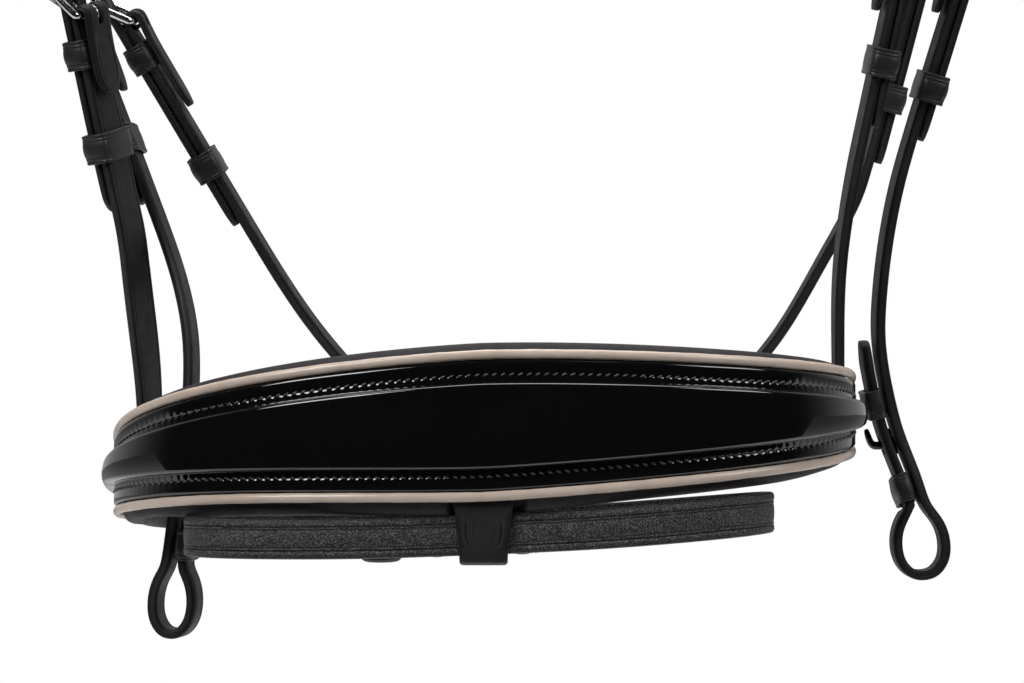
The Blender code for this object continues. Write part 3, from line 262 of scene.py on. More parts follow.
@dataclass(frozen=True)
class Leather:
    """Bridle leather: dyed black, with a fine grain, a waxed sheen and slightly worn spots; on pebbled
    leather the pebbles' tops are lightened as painted glints, and pressed lines are darkened as painted
    shade.
    """

    name: str
    colour: Colour = (0.0205, 0.0182, 0.0194)
    worn: Colour = (0.0340, 0.0302, 0.0322)
    roughness: float = 0.46
    grain: float = 2600.0
    grain_depth: float = 0.00016
    pebble: float = 0.0
    gloss: float = 0.22
    coat: float = 0.0
    crease_place: float = 0.0
    crease_width: float = 0.00022
    crease_depth: float = 0.0004

    def wear(self, graph: NodeGraph) -> Socket:
        """Find where the leather is lightened: on pebbled leather its pebbles' tops, as painted glints;
        elsewhere soft worn blotches.

        Args:
            graph: The leather's graph.

        Returns:
            The share of wear and painted glint.
        """
        if self.pebble:
            # Pebbled leather: the pebbles' tops get the lighter colour, a painted glint where light would
            # catch them.
            return graph.span(graph.noise(2500.0, 1.0), 0.46, 0.66)
        return graph.span(graph.noise(55.0, 3.0, 0.6), 0.45, 0.75)

    def material(self) -> Material:
        """Make the leather's material.

        Returns:
            The material.
        """
        graph = NodeGraph(bpy.data.materials.new(self.name))
        # The tone mixes worn spots and, on pebbled leather, painted glints on the pebbles' tops.
        tone = graph.blend(self.wear(graph), self.colour, self.worn)
        normal = graph.bump(graph.cells(self.grain), self.grain_depth, 0.35)
        if self.pebble:
            normal = graph.bump(graph.noise(2300.0, 1.5), self.pebble, 1.0, normal)
        if self.crease_place:
            crease = graph.crease(self.crease_place, self.crease_width)
            # Painted shade: the pressed lines and the strip at the very edge are darkened.
            tone = graph.paint_hollow_shade(tone, crease)
            normal = graph.bump(crease, self.crease_depth, 1.0, normal)
        sheen = graph.span(graph.noise(240.0, 4.0), 0.3, 0.7, self.roughness - 0.05, self.roughness + 0.09)
        graph.fill(graph.shader, Base_Color=tone, Roughness=sheen, Normal=normal,
                   Specular_IOR_Level=self.gloss, Coat_Weight=self.coat, Coat_Roughness=0.3)
        return graph.owner


@dataclass(frozen=True)
class Patent:
    """Patent leather: black under a clear glossy film that ripples very slightly."""

    name: str
    colour: Colour = (0.0030, 0.0030, 0.0034)
    handled: Colour = (0.0045, 0.0043, 0.0046)
    roughness: float = 0.035

    def material(self) -> Material:
        """Make the patent film's material.

        Returns:
            The material.
        """
        graph = NodeGraph(bpy.data.materials.new(self.name))
        tone = graph.blend(graph.noise(35.0, 2.0), self.colour, self.handled)
        sheen = graph.span(graph.noise(420.0, 4.0), 0.45, 0.8, self.roughness, self.roughness + 0.06)
        ripple = graph.bump(graph.noise(70.0, 2.0), 0.0006, 0.10)
        graph.fill(graph.shader, Base_Color=tone, Roughness=sheen, Specular_IOR_Level=0.5,
                   Normal=graph.bump(graph.noise(900.0, 1.0), 0.00005, 0.12, ripple),
                   Coat_Weight=0.6, Coat_Roughness=0.02)
        return graph.owner


@dataclass(frozen=True)
class Piping:
    """Cream piping: a soft leather bead with faint creases and handling marks."""

    name: str
    colour: Colour = (0.62, 0.51, 0.43)
    shade: Colour = (0.55, 0.44, 0.36)

    def material(self) -> Material:
        """Make the piping's material.

        Returns:
            The material.
        """
        graph = NodeGraph(bpy.data.materials.new(self.name))
        marks = graph.span(graph.noise(140.0, 5.0, 0.6), 0.42, 0.72)
        graph.fill(graph.shader, Base_Color=graph.blend(marks, self.colour, self.shade),
                   Normal=graph.bump(graph.noise(1500.0, 3.0), 0.0001, 0.5),
                   Roughness=0.15, Specular_IOR_Level=0.5)
        return graph.owner


@dataclass(frozen=True)
class Steel:
    """Polished stainless steel with hair-fine scratches."""

    name: str
    colour: Colour = (0.66, 0.66, 0.68)
    mark: Colour = (0.56, 0.56, 0.58)

    def material(self) -> Material:
        """Make the steel's material.

        Returns:
            The material.
        """
        graph = NodeGraph(bpy.data.materials.new(self.name))
        graph.fill(graph.shader, Metallic=1.0,
                   Base_Color=graph.blend(graph.noise(300.0, 3.0), self.colour, self.mark),
                   Roughness=graph.span(graph.noise(1800.0, 3.0), 0.4, 0.75, 0.10, 0.26),
                   Normal=graph.bump(graph.noise(2500.0, 2.0), 0.00003, 0.3))
        return graph.owner


@dataclass(frozen=True)
class Thread:
    """Waxed black stitching thread that catches the light."""

    name: str
    colour: Colour = (0.030, 0.029, 0.031)
    waxed: Colour = (0.10, 0.10, 0.11)

    def material(self) -> Material:
        """Make the thread's material.

        Returns:
            The material.
        """
        graph = NodeGraph(bpy.data.materials.new(self.name))
        graph.fill(graph.shader, Roughness=0.38, Specular_IOR_Level=0.6,
                   Base_Color=graph.blend(graph.noise(2500.0, 2.0), self.colour, self.waxed),
                   Normal=graph.bump(graph.noise(5000.0, 1.0), 0.0001, 0.6))
        return graph.owner


class Finishes:
    """Every finish of the bridle, made once."""

    def __init__(self) -> None:
        """Make the materials."""
        self.strap = Leather("bridle_leather", crease_place=0.0014).material()
        self.keeper = Leather("keeper_leather", roughness=0.38, gloss=0.34, coat=0.10).material()
        self.edge = Leather("burnished_edge", colour=(0.022, 0.0195, 0.019),
                            worn=(0.045, 0.038, 0.036), roughness=0.36).material()
        # The pebbled leather's lighter colour is painted glints on its pebbles' tops.
        self.flash = Leather("pebbled_leather", colour=(0.0075, 0.0066, 0.0071),
                             worn=(0.1450, 0.1300, 0.1390), roughness=0.36, gloss=0.45,
                             pebble=0.00034, crease_place=0.0018,
                             crease_width=0.00028).material()
        self.lining = Leather("soft_lining", colour=(0.036, 0.033, 0.035),
                              worn=(0.050, 0.046, 0.048), roughness=0.60, grain=1500.0,
                              grain_depth=0.0003).material()
        self.patent = Patent("patent_film").material()
        self.piping = Piping("cream_piping").material()
        self.steel = Steel("polished_steel").material()
        self.stud = Steel("darkened_stud", colour=(0.035, 0.034, 0.036),
                          mark=(0.060, 0.058, 0.060)).material()
        self.thread = Thread("waxed_thread").material()


def tube(rings: Sequence[Sequence[Vector]]) -> tuple[list[Vector], list[list[int]]]:
    """Join rings of points into a closed skin with capped ends.

    Args:
        rings: Rings with equal counts of points.

    Returns:
        The points and the faces.
    """
    count = len(rings[0])
    points = [point for ring in rings for point in ring]
    faces = []
    for row in range(len(rings) - 1):
        base = row * count
        for index in range(count):
            after = (index + 1) % count
            faces.append([base + index, base + after, base + count + after, base + count + index])
    faces.append(list(range(count)))
    faces.append(list(range((len(rings) - 1) * count, len(rings) * count)))
    return points, faces


@dataclass(frozen=True)
class Label:
    """A piece's name, body, slot and finishes, the main one first, and what it stands for."""

    name: str
    body: str
    slot: Slot
    materials: Sequence[Material]
    replaces: Sequence[str] = ()

    def dress(self, mesh: bpy.types.Mesh) -> Object:
        """Link a mesh as the piece, with its finishes and body.

        Args:
            mesh: The piece's mesh.

        Returns:
            The new piece.
        """
        piece = bpy.data.objects.new(self.name, mesh)
        bpy.context.scene.collection.objects.link(piece)
        mesh.materials.clear()
        for material in self.materials:
            mesh.materials.append(material)
        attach(piece, self.body)
        if self.replaces:
            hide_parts(*self.replaces)
        LOG.info("%s rides on %s: %d faces", self.name, self.body, len(mesh.polygons))
        return piece

    def form(self, points: Sequence[Vector], faces: Sequence[Sequence[int]]) -> Object:
        """Make the piece from corners and faces.

        Args:
            points: Corner places in metres.
            faces: Corner numbers of each face.

        Returns:
            The new piece.
        """
        mesh = bpy.data.meshes.new(self.name)
        mesh.from_pydata([tuple(point) for point in points], [], [list(face) for face in faces])
        mesh.update()
        return self.dress(mesh)

    def skin(self, rings: Sequence[Sequence[Vector]]) -> Object:
        """Make the piece as a smooth closed skin over rings of points.

        Args:
            rings: Rings of points along it.

        Returns:
            The new piece.
        """
        piece = self.form(*tube(rings))
        grid = bmesh.new()
        grid.from_mesh(piece.data)
        bmesh.ops.recalc_face_normals(grid, faces=grid.faces)
        grid.to_mesh(piece.data)
        grid.free()
        piece.data.shade_smooth()
        piece.data.set_sharp_from_angle(angle=math.radians(50))
        return piece


@dataclass(frozen=True)
class RingPoint:
    """A place on the noseband's ring with its own three directions."""

    place: Vector
    along: Vector
    out: Vector
    up: Vector

    def at(self, out: float, rise: float) -> Vector:
        """Return the point that lies out from the ring and up its height."""
        return self.place + self.out * out + self.up * rise


@dataclass
class NoseRing:
    """The line of the noseband's middle, measured along it from the front's middle."""

    centre_x: float = -0.0083
    front_y: float = -0.0828
    half_width: float = 0.1092
    depth: float = 0.132
    power: float = 2.4
    level: float = -0.3045
    lean: float = 0.040
    twist: float = 0.10
    drop: float = 0.0155
    count: int = 2160
    reach: int = 8

    def __post_init__(self) -> None:
        """Lay the line out and measure it."""
        self.places = [self.plan(math.tau * step / self.count - math.pi / 2)
                       for step in range(-self.count // 2, self.count // 2 + 1)]
        lengths = [0.0]
        for first, second in zip(self.places, self.places[1:]):
            lengths.append(lengths[-1] + (second - first).length)
        middle = lengths[self.count // 2]
        self.lengths = [length - middle for length in lengths]

    def plan(self, turn: float) -> Vector:
        """Return the line's place at a turn round the ring.

        Args:
            turn: Angle in radians; the front's middle is at minus a quarter turn.

        Returns:
            The place.
        """
        side, deep = math.cos(turn), math.sin(turn)
        x = self.half_width * math.copysign(abs(side) ** (2 / self.power), side)
        share = (1 + math.copysign(abs(deep) ** (2 / self.power), deep)) / 2
        z = self.level + (self.lean + self.twist * share) * x - self.drop * share
        return Vector((self.centre_x + x, self.front_y + self.depth * share, z))

    def at(self, arc: float) -> RingPoint:
        """Return the ring's place and directions at a length along it.

        Args:
            arc: Length from the front's middle, to the right above 0.

        Returns:
            The place with its directions.
        """
        index = min(max(bisect.bisect_left(self.lengths, arc), 1), len(self.lengths) - 1)
        low, high = self.lengths[index - 1], self.lengths[index]
        share = (arc - low) / (high - low)
        before = self.places[max(index - self.reach, 0)]
        after = self.places[min(index - 1 + self.reach, len(self.places) - 1)]
        along = (after - before).normalized()
        out = Vector((along.y, -along.x, 0.0)).normalized()
        place = self.places[index - 1].lerp(self.places[index], share)
        return RingPoint(place, along, out, out.cross(along).normalized())


def smooth_share(value: float) -> float:
    """Return a share from 0 to 1 that starts and ends gently."""
    value = min(max(value, 0.0), 1.0)
    return value * value * (3 - 2 * value)


@dataclass(frozen=True)
class Wave:
    """A slight unevenness along the noseband, as a share of a size."""

    share: float
    turns: float
    start: float = 0.0

    def at(self, arc: float, side: int = 1) -> float:
        """Return the wave's share at a length from the middle, on one side of the noseband."""
        return self.share * math.sin(arc * self.turns + self.start * side)


@dataclass(frozen=True)
class Dents:
    """Where the sewn-on hangers, chin straps and flash loop press the lining in, and how far."""

    hangers: tuple[float, float] = (-0.168, 0.147)
    hanger_half: float = 0.0085
    hanger_depth: float = 0.0041
    hanger_foot: float = 0.7
    chin_start: float = 0.1740
    chin_depth: float = 0.0037
    loop_half: float = 0.0118
    loop_top: float = -0.0095
    loop_depth: float = 0.0028
    side: float = 0.0015
    end: float = 0.002
    least: float = 0.0002

    def depth(self, arc: float, rise: float, half: float) -> float:
        """Return how far the lining's front is pressed in.

        Args:
            arc: Length from the middle.
            rise: Height above the ring's line.
            half: Half of the facing's height there.

        Returns:
            The depth.
        """
        deep = self.chin_depth * smooth_share((abs(arc) - self.chin_start) / self.end)
        low = smooth_share((rise + half * self.hanger_foot) / self.end)
        for centre in self.hangers:
            near = smooth_share((self.hanger_half - abs(arc - centre)) / self.side)
            deep = max(deep, self.hanger_depth * near * low)
        under = smooth_share((self.loop_half - abs(arc)) / self.side)
        return max(deep, self.loop_depth * under * smooth_share((self.loop_top - rise) / self.end))


@dataclass(frozen=True)
class Stitch:
    """Sizes of one waxed stitch; its length is a share of the row's pitch."""

    pitch: float = 0.0025
    length: float = 0.56
    half_height: float = 0.00034
    half_thickness: float = 0.00024
    slant: float = 0.00025
    arch: float = 0.00020
    sunk: float = 0.00016
    sides: int = 8


@dataclass
class Noseband:
    """The padded noseband: facing, raised centre, piping, lining and its two rows of stitching."""

    finishes: Finishes
    ring: NoseRing = field(default_factory=NoseRing)
    height: float = 0.0378
    end_height: float = 0.013
    taper_length: float = 0.165
    taper_power: float = 1.475
    half_length: float = 0.190
    end_round: float = 0.010
    end_least: float = 0.02
    raised_margin: float = 0.0060
    raised_least_half: float = 0.0030
    raised_half_length: float = 0.180
    raised_thickness: float = 0.0034
    raised_end_share: float = 0.35
    raised_crown: float = 0.00035
    raised_clearance: float = 0.00002
    shoulder: float = 0.0014
    shoulder_steps: int = 7
    facing_in: float = 0.0018
    facing_out: float = 0.0040
    facing_corner: float = 0.0008
    facing_corner_steps: int = 3
    facing_rim: float = 0.0011
    dimple_half: float = 0.0008
    dimple_floor: float = 0.0003
    dimple_least: float = 0.00008
    dimple_swing: float = 0.00034
    bead_height: float = 0.0029
    bead_thickness: float = 0.0024
    bead_fade: float = 0.008
    bead_end_share: float = 0.25
    bead_sides: int = 14
    bead_waves: tuple[Wave, ...] = (Wave(0.02, 410.0, 1.0), Wave(0.015, 930.0))
    lining_in: float = -0.0067
    lining_out: float = 0.0015
    lining_sides: int = 36
    lining_power_out: float = 0.55
    lining_power_up: float = 0.45
    lining_waves: tuple[Wave, ...] = (Wave(0.012, 260.0), Wave(0.010, 610.0, 1.3))
    lip_upper: float = 0.0020
    lip_lower: float = 0.0022
    lip_swell: float = 0.0017
    swell_half_length: float = 0.118
    swell_fade: float = 0.03
    swell_right_loss: float = 0.5
    swell_right_fade: float = 0.05
    gap: float = 0.0003
    dents: Dents = Dents()
    stitch: Stitch = Stitch()
    stitch_inset: float = 0.0019
    stitch_half_length: float = 0.172
    step: float = 0.00115

    def build(self) -> None:
        """Build every piece of the noseband's front."""
        self.facing()
        self.raised_centre()
        self.piping("piping_bead_upper", "noseband_piping_upper", 1)
        self.piping("piping_bead_lower", "noseband_piping_lower", -1)
        self.lining()
        self.stitching("stitch_row_upper", 1)
        self.stitching("stitch_row_lower", -1)

    def label(self, name: str, slot: Slot, finish: Material, *replaces: str) -> Label:
        """Return the label of a piece of the noseband, which rides on the bridle."""
        return Label(name, "bridle", slot, [finish], replaces)

    def facing_half(self, arc: float) -> float:
        """Return half of the facing's height, which narrows from the middle to the ends."""
        share = min(abs(arc) / self.taper_length, 1.0)
        return (self.height - (self.height - self.end_height) * share ** self.taper_power) / 2

    def raised_half(self, arc: float) -> float:
        """Return half of the raised centre's height."""
        return max(self.facing_half(arc) - self.raised_margin, self.raised_least_half)

    def rounding(self, arc: float, half_length: float) -> float:
        """Return the share of the height that a rounded end leaves.

        Args:
            arc: Length from the middle.
            half_length: Where the end is.

        Returns:
            The share.
        """
        past = abs(arc) - (half_length - self.end_round)
        if past <= 0:
            return 1.0
        return math.sqrt(max(1 - (past / self.end_round) ** 2, self.end_least))

    def arcs(self, half_length: float, step: float) -> list[float]:
        """Return lengths from one end to the other, evenly spaced and about a step apart."""
        count = math.ceil(half_length / step)
        return [half_length * index / count for index in range(-count, count + 1)]

    def facing_outline(self, half: float) -> list[tuple[float, float]]:
        """Outline of the flat facing with rounded edges.

        Args:
            half: Half of its height.

        Returns:
            Pairs of distance out and rise.
        """
        radius, steps = self.facing_corner, self.facing_corner_steps
        inner, outer, top = self.facing_in + radius, self.facing_out - radius, half - radius
        outline = []
        for index, (out, rise) in enumerate(((outer, top), (inner, top), (inner, -top), (outer, -top))):
            for step in range(steps + 1):
                turn = math.pi / 2 * (index + step / steps)
                outline.append((out + radius * math.cos(turn), rise + radius * math.sin(turn)))
        return outline

    def dimple_offsets(self) -> tuple[float, ...]:
        """Return where the points across a row of dimples lie beside the row's line."""
        return -self.dimple_half, -self.dimple_floor, 0.0, self.dimple_floor, self.dimple_half

    def facing(self) -> None:
        """The flat patent strap, dimpled along its two rows of stitching."""
        rings = []
        for arc in self.arcs(self.half_length, self.step / 2):
            point, half = self.ring.at(arc), self.facing_half(arc)
            ends = self.rounding(arc, self.half_length)
            row = self.raised_half(arc) + self.stitch_inset
            wave = 0.5 + 0.5 * math.cos(math.tau * arc / self.stitch.pitch)
            depth = self.dimple_least + self.dimple_swing * wave
            front = [(self.facing_out, self.facing_rim - half)]
            for rise in [side * row + offset for side in (-1, 1) for offset in self.dimple_offsets()]:
                near = max(1 - abs(abs(rise) - row) / self.dimple_half, 0.0)
                front.append((self.facing_out - depth * near, rise))
            front.append((self.facing_out, half - self.facing_rim))
            rings.append([point.at(out, rise * ends)
                          for out, rise in front + self.facing_outline(half)])
        self.label("patent_facing", Slot.PATENT, self.finishes.patent, "noseband_facing").skin(rings)

    def raised_outline(self, half: float, thick: float) -> list[tuple[float, float]]:
        """Outline of the raised centre: a nearly flat face between two rounded shoulders.

        Args:
            half: Half of its height.
            thick: Its thickness.

        Returns:
            Pairs of distance out from the facing and rise, from its top to its bottom.
        """
        shoulder = min(self.shoulder, half * 0.8)
        flat = half - shoulder
        turns = [math.pi / 2 * step / self.shoulder_steps for step in range(self.shoulder_steps)]
        upper = [(thick * math.sin(turn), flat + shoulder * math.cos(turn)) for turn in turns]
        face = [(thick + self.raised_crown * (1 - share * share), -flat * share)
                for share in FACE_SHARES]
        return upper + face + [(out, -rise) for out, rise in reversed(upper)]

    def raised_centre(self) -> None:
        """The raised centre, formed over a core with rounded shoulders."""
        rings = []
        for arc in self.arcs(self.raised_half_length, self.step):
            point = self.ring.at(arc)
            ends = self.rounding(arc, self.raised_half_length)
            half = self.raised_half(arc) * ends
            share = self.raised_end_share + (1 - self.raised_end_share) * ends
            rings.append([point.at(self.facing_out + self.raised_clearance + out, rise)
                          for out, rise in self.raised_outline(half, self.raised_thickness * share)])
        self.label("raised_patent_centre", Slot.PATENT, self.finishes.patent,
                   "noseband_raised_centre").skin(rings)

    def piping(self, name: str, node: str, side: int) -> None:
        """A cream bead along one edge of the facing.

        Args:
            name: The piece's name.
            node: The solid that it stands for.
            side: 1 above and -1 below.
        """
        half_length = self.half_length - self.end_round
        rings = []
        for arc in self.arcs(half_length, self.step):
            point = self.ring.at(arc)
            middle = side * (self.facing_half(arc) + self.gap + self.bead_height / 2)
            thin = min(1.0, (half_length - abs(arc)) / self.bead_fade + self.bead_end_share)
            wobble = 1 + sum(wave.at(arc, side) for wave in self.bead_waves)
            ring = []
            for step in range(self.bead_sides):
                turn = math.tau * step / self.bead_sides
                ring.append(point.at(self.facing_in + self.bead_thickness / 2
                                     + self.bead_thickness / 2 * thin * math.sin(turn),
                                     middle + self.bead_height / 2 * thin * wobble * math.cos(turn)))
            rings.append(ring)
        self.label(name, Slot.PIPING, self.finishes.piping, node).skin(rings)

    def lining(self) -> None:
        """The soft padded lining, rolled out past the piping on both edges."""
        rings = []
        middle = (self.lining_in + self.lining_out) / 2
        thick = (self.lining_out - self.lining_in) / 2
        for arc in self.arcs(self.half_length, self.step):
            point = self.ring.at(arc)
            share = min(abs(arc) / self.half_length, 1.0)
            ends = self.rounding(arc, self.half_length)
            base = self.facing_half(arc) + self.gap + self.bead_height
            upper = (base + self.lip_upper * (1 - share ** 2)) * ends
            swell = self.lip_swell * smooth_share((self.swell_half_length - abs(arc)) / self.swell_fade)
            swell *= 1 - self.swell_right_loss * smooth_share(arc / self.swell_right_fade)
            lower = (base + swell + self.lip_lower * (1 - share ** 4 / 2)) * ends
            centre, half = (upper - lower) / 2, (upper + lower) / 2
            puff = 1 + sum(wave.at(arc) for wave in self.lining_waves)
            ring = []
            for step in range(self.lining_sides):
                turn = math.tau * step / self.lining_sides
                side, high = math.cos(turn), math.sin(turn)
                out = middle + thick * math.copysign(abs(high) ** self.lining_power_out, high) * puff
                rise = centre + half * math.copysign(abs(side) ** self.lining_power_up, side)
                if high > 0:
                    deep = self.dents.depth(arc, rise, self.facing_half(arc))
                    out = max(min(out, self.lining_out) - deep, middle - self.dents.least)
                ring.append(point.at(out, rise))
            rings.append(ring)
        lining = self.label("padded_lining", Slot.LINING, self.finishes.lining,
                            "noseband_lining").skin(rings)

    def stitching(self, name: str, side: int) -> None:
        """One row of waxed stitches beside the raised centre.

        Args:
            name: The piece's name.
            side: 1 above and -1 below.
        """
        points: list[Vector] = []
        faces: list[list[int]] = []
        stitch = self.stitch
        turns = [math.tau * step / stitch.sides for step in range(stitch.sides)]
        reach = int(self.stitch_half_length / stitch.pitch)
        for index in range(-reach, reach):
            arc = (index + 0.5) * stitch.pitch
            middle = side * (self.raised_half(arc) + self.stitch_inset)
            rings = []
            for along, size in STITCH_RINGS:
                point = self.ring.at(arc + along * stitch.pitch * stitch.length)
                out = self.facing_out - stitch.sunk + stitch.arch * (1 - 4 * along * along)
                rise = middle + stitch.slant * along * 2 * side
                rings.append([point.at(out + stitch.half_thickness * size * math.sin(turn),
                                       rise + stitch.half_height * size * math.cos(turn))
                              for turn in turns])
            more, skins = tube(rings)
            base = len(points)
            points += more
            faces += [[base + corner for corner in face] for face in skins]
        row = self.label(name, Slot.LEATHER, self.finishes.thread).form(points, faces)
        row.data.shade_smooth()


@dataclass
class SoftenedCopy:
    """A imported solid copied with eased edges, smooth curves and its edges' own finish."""

    node: str
    body: str
    slot: Slot
    materials: Sequence[Material]
    ease: float = 0.00032
    levels: int = 2
    edge_width: float = 0.0033
    corner: float = math.radians(35)
    flat: float = math.radians(4)
    skew: float = math.radians(170)
    axis: Vector | None = None
    creases: Sequence[tuple[float, float]] = STRAP_CREASES
    crease_least: float = 0.0085

    def build(self, solid: Object) -> Object:
        """Copy, ease and smooth the solid.

        Args:
            solid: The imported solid.

        Returns:
            The piece that stands for it.
        """
        mesh = solid.data.copy()
        grid = bmesh.new()
        grid.from_mesh(mesh)
        bmesh.ops.remove_doubles(grid, verts=grid.verts, dist=WELD)
        bmesh.ops.join_triangles(grid, faces=grid.faces, angle_face_threshold=self.flat,
                                 angle_shape_threshold=self.skew)
        for patch in self.patches(grid):
            narrow = self.patch_width(patch) < self.edge_width
            for face in patch:
                face.material_index = 1 if narrow and len(self.materials) > 1 else 0
                face.smooth = True
        self.mark_corners(grid)
        if self.axis is None:
            self.press_creases(grid, self.measure_margins(grid))
        else:
            self.emboss(grid, self.axis)
        grid.to_mesh(mesh)
        grid.free()
        piece = Label("soft_" + self.node, self.body, self.slot, self.materials,
                      [self.node]).dress(mesh)
        if self.ease:
            eased = piece.modifiers.new("eased_edges", "BEVEL")
            eased.width = self.ease
            eased.segments = 2
            eased.limit_method = "WEIGHT"
            eased.use_clamp_overlap = False
        smooth = piece.modifiers.new("smooth_curve", "SUBSURF")
        smooth.levels = self.levels
        smooth.render_levels = self.levels
        smooth.uv_smooth = "NONE"
        settle(piece)
        return piece

    def sharp(self, edge: bmesh.types.BMEdge) -> bool:
        """Tell whether an edge is one of the solid's corners."""
        return edge.calc_face_angle(math.pi) > self.corner

    def patches(self, grid: Grid) -> list[list[bmesh.types.BMFace]]:
        """Group the faces that run on smoothly into each other.

        Args:
            grid: The mesh.

        Returns:
            The groups.
        """
        found, seen = [], set()
        for start in grid.faces:
            if start in seen:
                continue
            seen.add(start)
            patch = [start]
            for face in patch:
                for edge in face.edges:
                    if not self.sharp(edge):
                        fresh = [near for near in edge.link_faces if near not in seen]
                        seen.update(fresh)
                        patch.extend(fresh)
            found.append(patch)
        return found

    def patch_width(self, patch: Sequence[bmesh.types.BMFace]) -> float:
        """Return the mean width of a band of faces, from its area and its rim."""
        rim = sum(edge.calc_length() for face in patch for edge in face.edges if self.sharp(edge))
        return 2 * sum(face.calc_area() for face in patch) / max(rim, 1e-9)

    def mark_corners(self, grid: Grid) -> None:
        """Mark the edges to ease: a band's rims, and every corner of another piece.

        Args:
            grid: The mesh.
        """
        weight = grid.edges.layers.float.new("bevel_weight_edge")
        for edge in grid.edges:
            lean = 0.0
            if self.axis is not None:
                lean = abs((edge.verts[1].co - edge.verts[0].co).normalized().dot(self.axis))
            edge[weight] = 1.0 if self.sharp(edge) and lean < 0.5 else 0.0

    def emboss(self, grid: Grid, axis: Vector) -> None:
        """Press two lines into the outside of a leather band beside each of its rims.

        Args:
            grid: The band's mesh.
            axis: Direction of the strap that the band goes round.
        """
        reach = [vertex.co.dot(axis) for vertex in grid.verts]
        low, high = min(reach), max(reach)
        middle = sum((vertex.co for vertex in grid.verts), Vector()) / len(grid.verts)
        lines = [(rim + way * place, depth) for rim, way in ((low, 1), (high, -1))
                 for place, depth in EMBOSSING]
        for place, _ in lines:
            bmesh.ops.bisect_plane(grid, geom=[*grid.verts, *grid.edges, *grid.faces],
                                   dist=WELD / 10, plane_co=axis * place, plane_no=axis)
        grid.normal_update()
        for vertex in grid.verts:
            outward = vertex.co - middle
            outward -= axis * outward.dot(axis)
            if vertex.normal.dot(outward) <= 0:
                continue
            for place, depth in lines:
                if depth and abs(vertex.co.dot(axis) - place) < WELD:
                    vertex.co -= outward.normalized() * depth

    def measure_margins(self, grid: Grid) -> list[Rungs]:
        """Write each corner's distances to its strap's two edges, which the creases follow.

        Args:
            grid: The strap's mesh.

        Returns:
            The crossing edges of each length of strap, each from one edge of the strap to the other.
        """
        margin = grid.loops.layers.uv.new(MARGIN)
        found = []
        for face in grid.faces:
            rims = [index for index, loop in enumerate(face.loops) if self.sharp(loop.edge)]
            if len(face.loops) != 4 or len(rims) != 2 or rims[1] - rims[0] != 2:
                for loop in face.loops:
                    loop[margin].uv = (NO_MARGIN, NO_MARGIN)
                continue
            loops = [face.loops[(rims[0] + step) % 4] for step in range(4)]
            across = (loops[1].edge.calc_length(), loops[3].edge.calc_length())
            loops[0][margin].uv = (0.0, across[1])
            loops[1][margin].uv = (0.0, across[0])
            loops[2][margin].uv = (across[0], 0.0)
            loops[3][margin].uv = (across[1], 0.0)
            if min(across) > self.crease_least:
                found.append(((loops[0].vert, loops[3].vert), (loops[1].vert, loops[2].vert)))
        return found

    def press_creases(self, grid: Grid, lengths: Sequence[Rungs]) -> None:
        """Cut lines along both edges of a strap's wide sides and press them in.

        Args:
            grid: The strap's mesh.
            lengths: The crossing edges of each length of strap.
        """
        cuts: dict[Rung, list[Corner]] = {}
        pressed: dict[Corner, tuple[Vector, float]] = {}
        for rungs in lengths:
            for rung in rungs:
                if rung not in cuts and rung[::-1] not in cuts:
                    cuts[rung] = self.cut_rung(grid, rung, pressed)
        for rungs in lengths:
            first, last = (cuts[rung] if rung in cuts else cuts[rung[::-1]][::-1] for rung in rungs)
            for near, far in zip(first, last):
                shared = [face for face in near.link_faces if face in far.link_faces]
                if shared:
                    bmesh.utils.face_split(shared[0], near, far)
        for vertex, (place, depth) in pressed.items():
            vertex.co = place - vertex.normal * depth

    def cut_rung(self, grid: Grid, rung: Rung,
                 pressed: dict[Corner, tuple[Vector, float]]) -> list[Corner]:
        """Split a crossing edge at the places of the creases.

        Args:
            grid: The strap's mesh.
            rung: The edge's two ends.
            pressed: Takes each new corner's place and depth.

        Returns:
            The new corners, from the first end to the last.
        """
        start, end = rung[0].co.copy(), rung[1].co.copy()
        length = (end - start).length
        places = ([(place, depth) for place, depth in self.creases]
                  + [(length - place, depth) for place, depth in reversed(self.creases)])
        made = []
        last, done = rung[0], 0.0
        for place, depth in places:
            edge = grid.edges.get((last, rung[1]))
            _, vertex = bmesh.utils.edge_split(edge, last, (place - done) / (length - done))
            vertex.co = start.lerp(end, place / length)
            pressed[vertex] = (vertex.co.copy(), depth)
            made.append(vertex)
            last, done = vertex, place
        return made


def settle(piece: Object) -> None:
    """Replace a piece's mesh by its shape after its modifiers.

    Args:
        piece: The piece.
    """
    bpy.context.view_layer.update()
    graph = bpy.context.evaluated_depsgraph_get()
    shaped = bpy.data.meshes.new_from_object(piece.evaluated_get(graph))
    piece.modifiers.clear()
    piece.data = shaped
    shaped.shade_smooth()


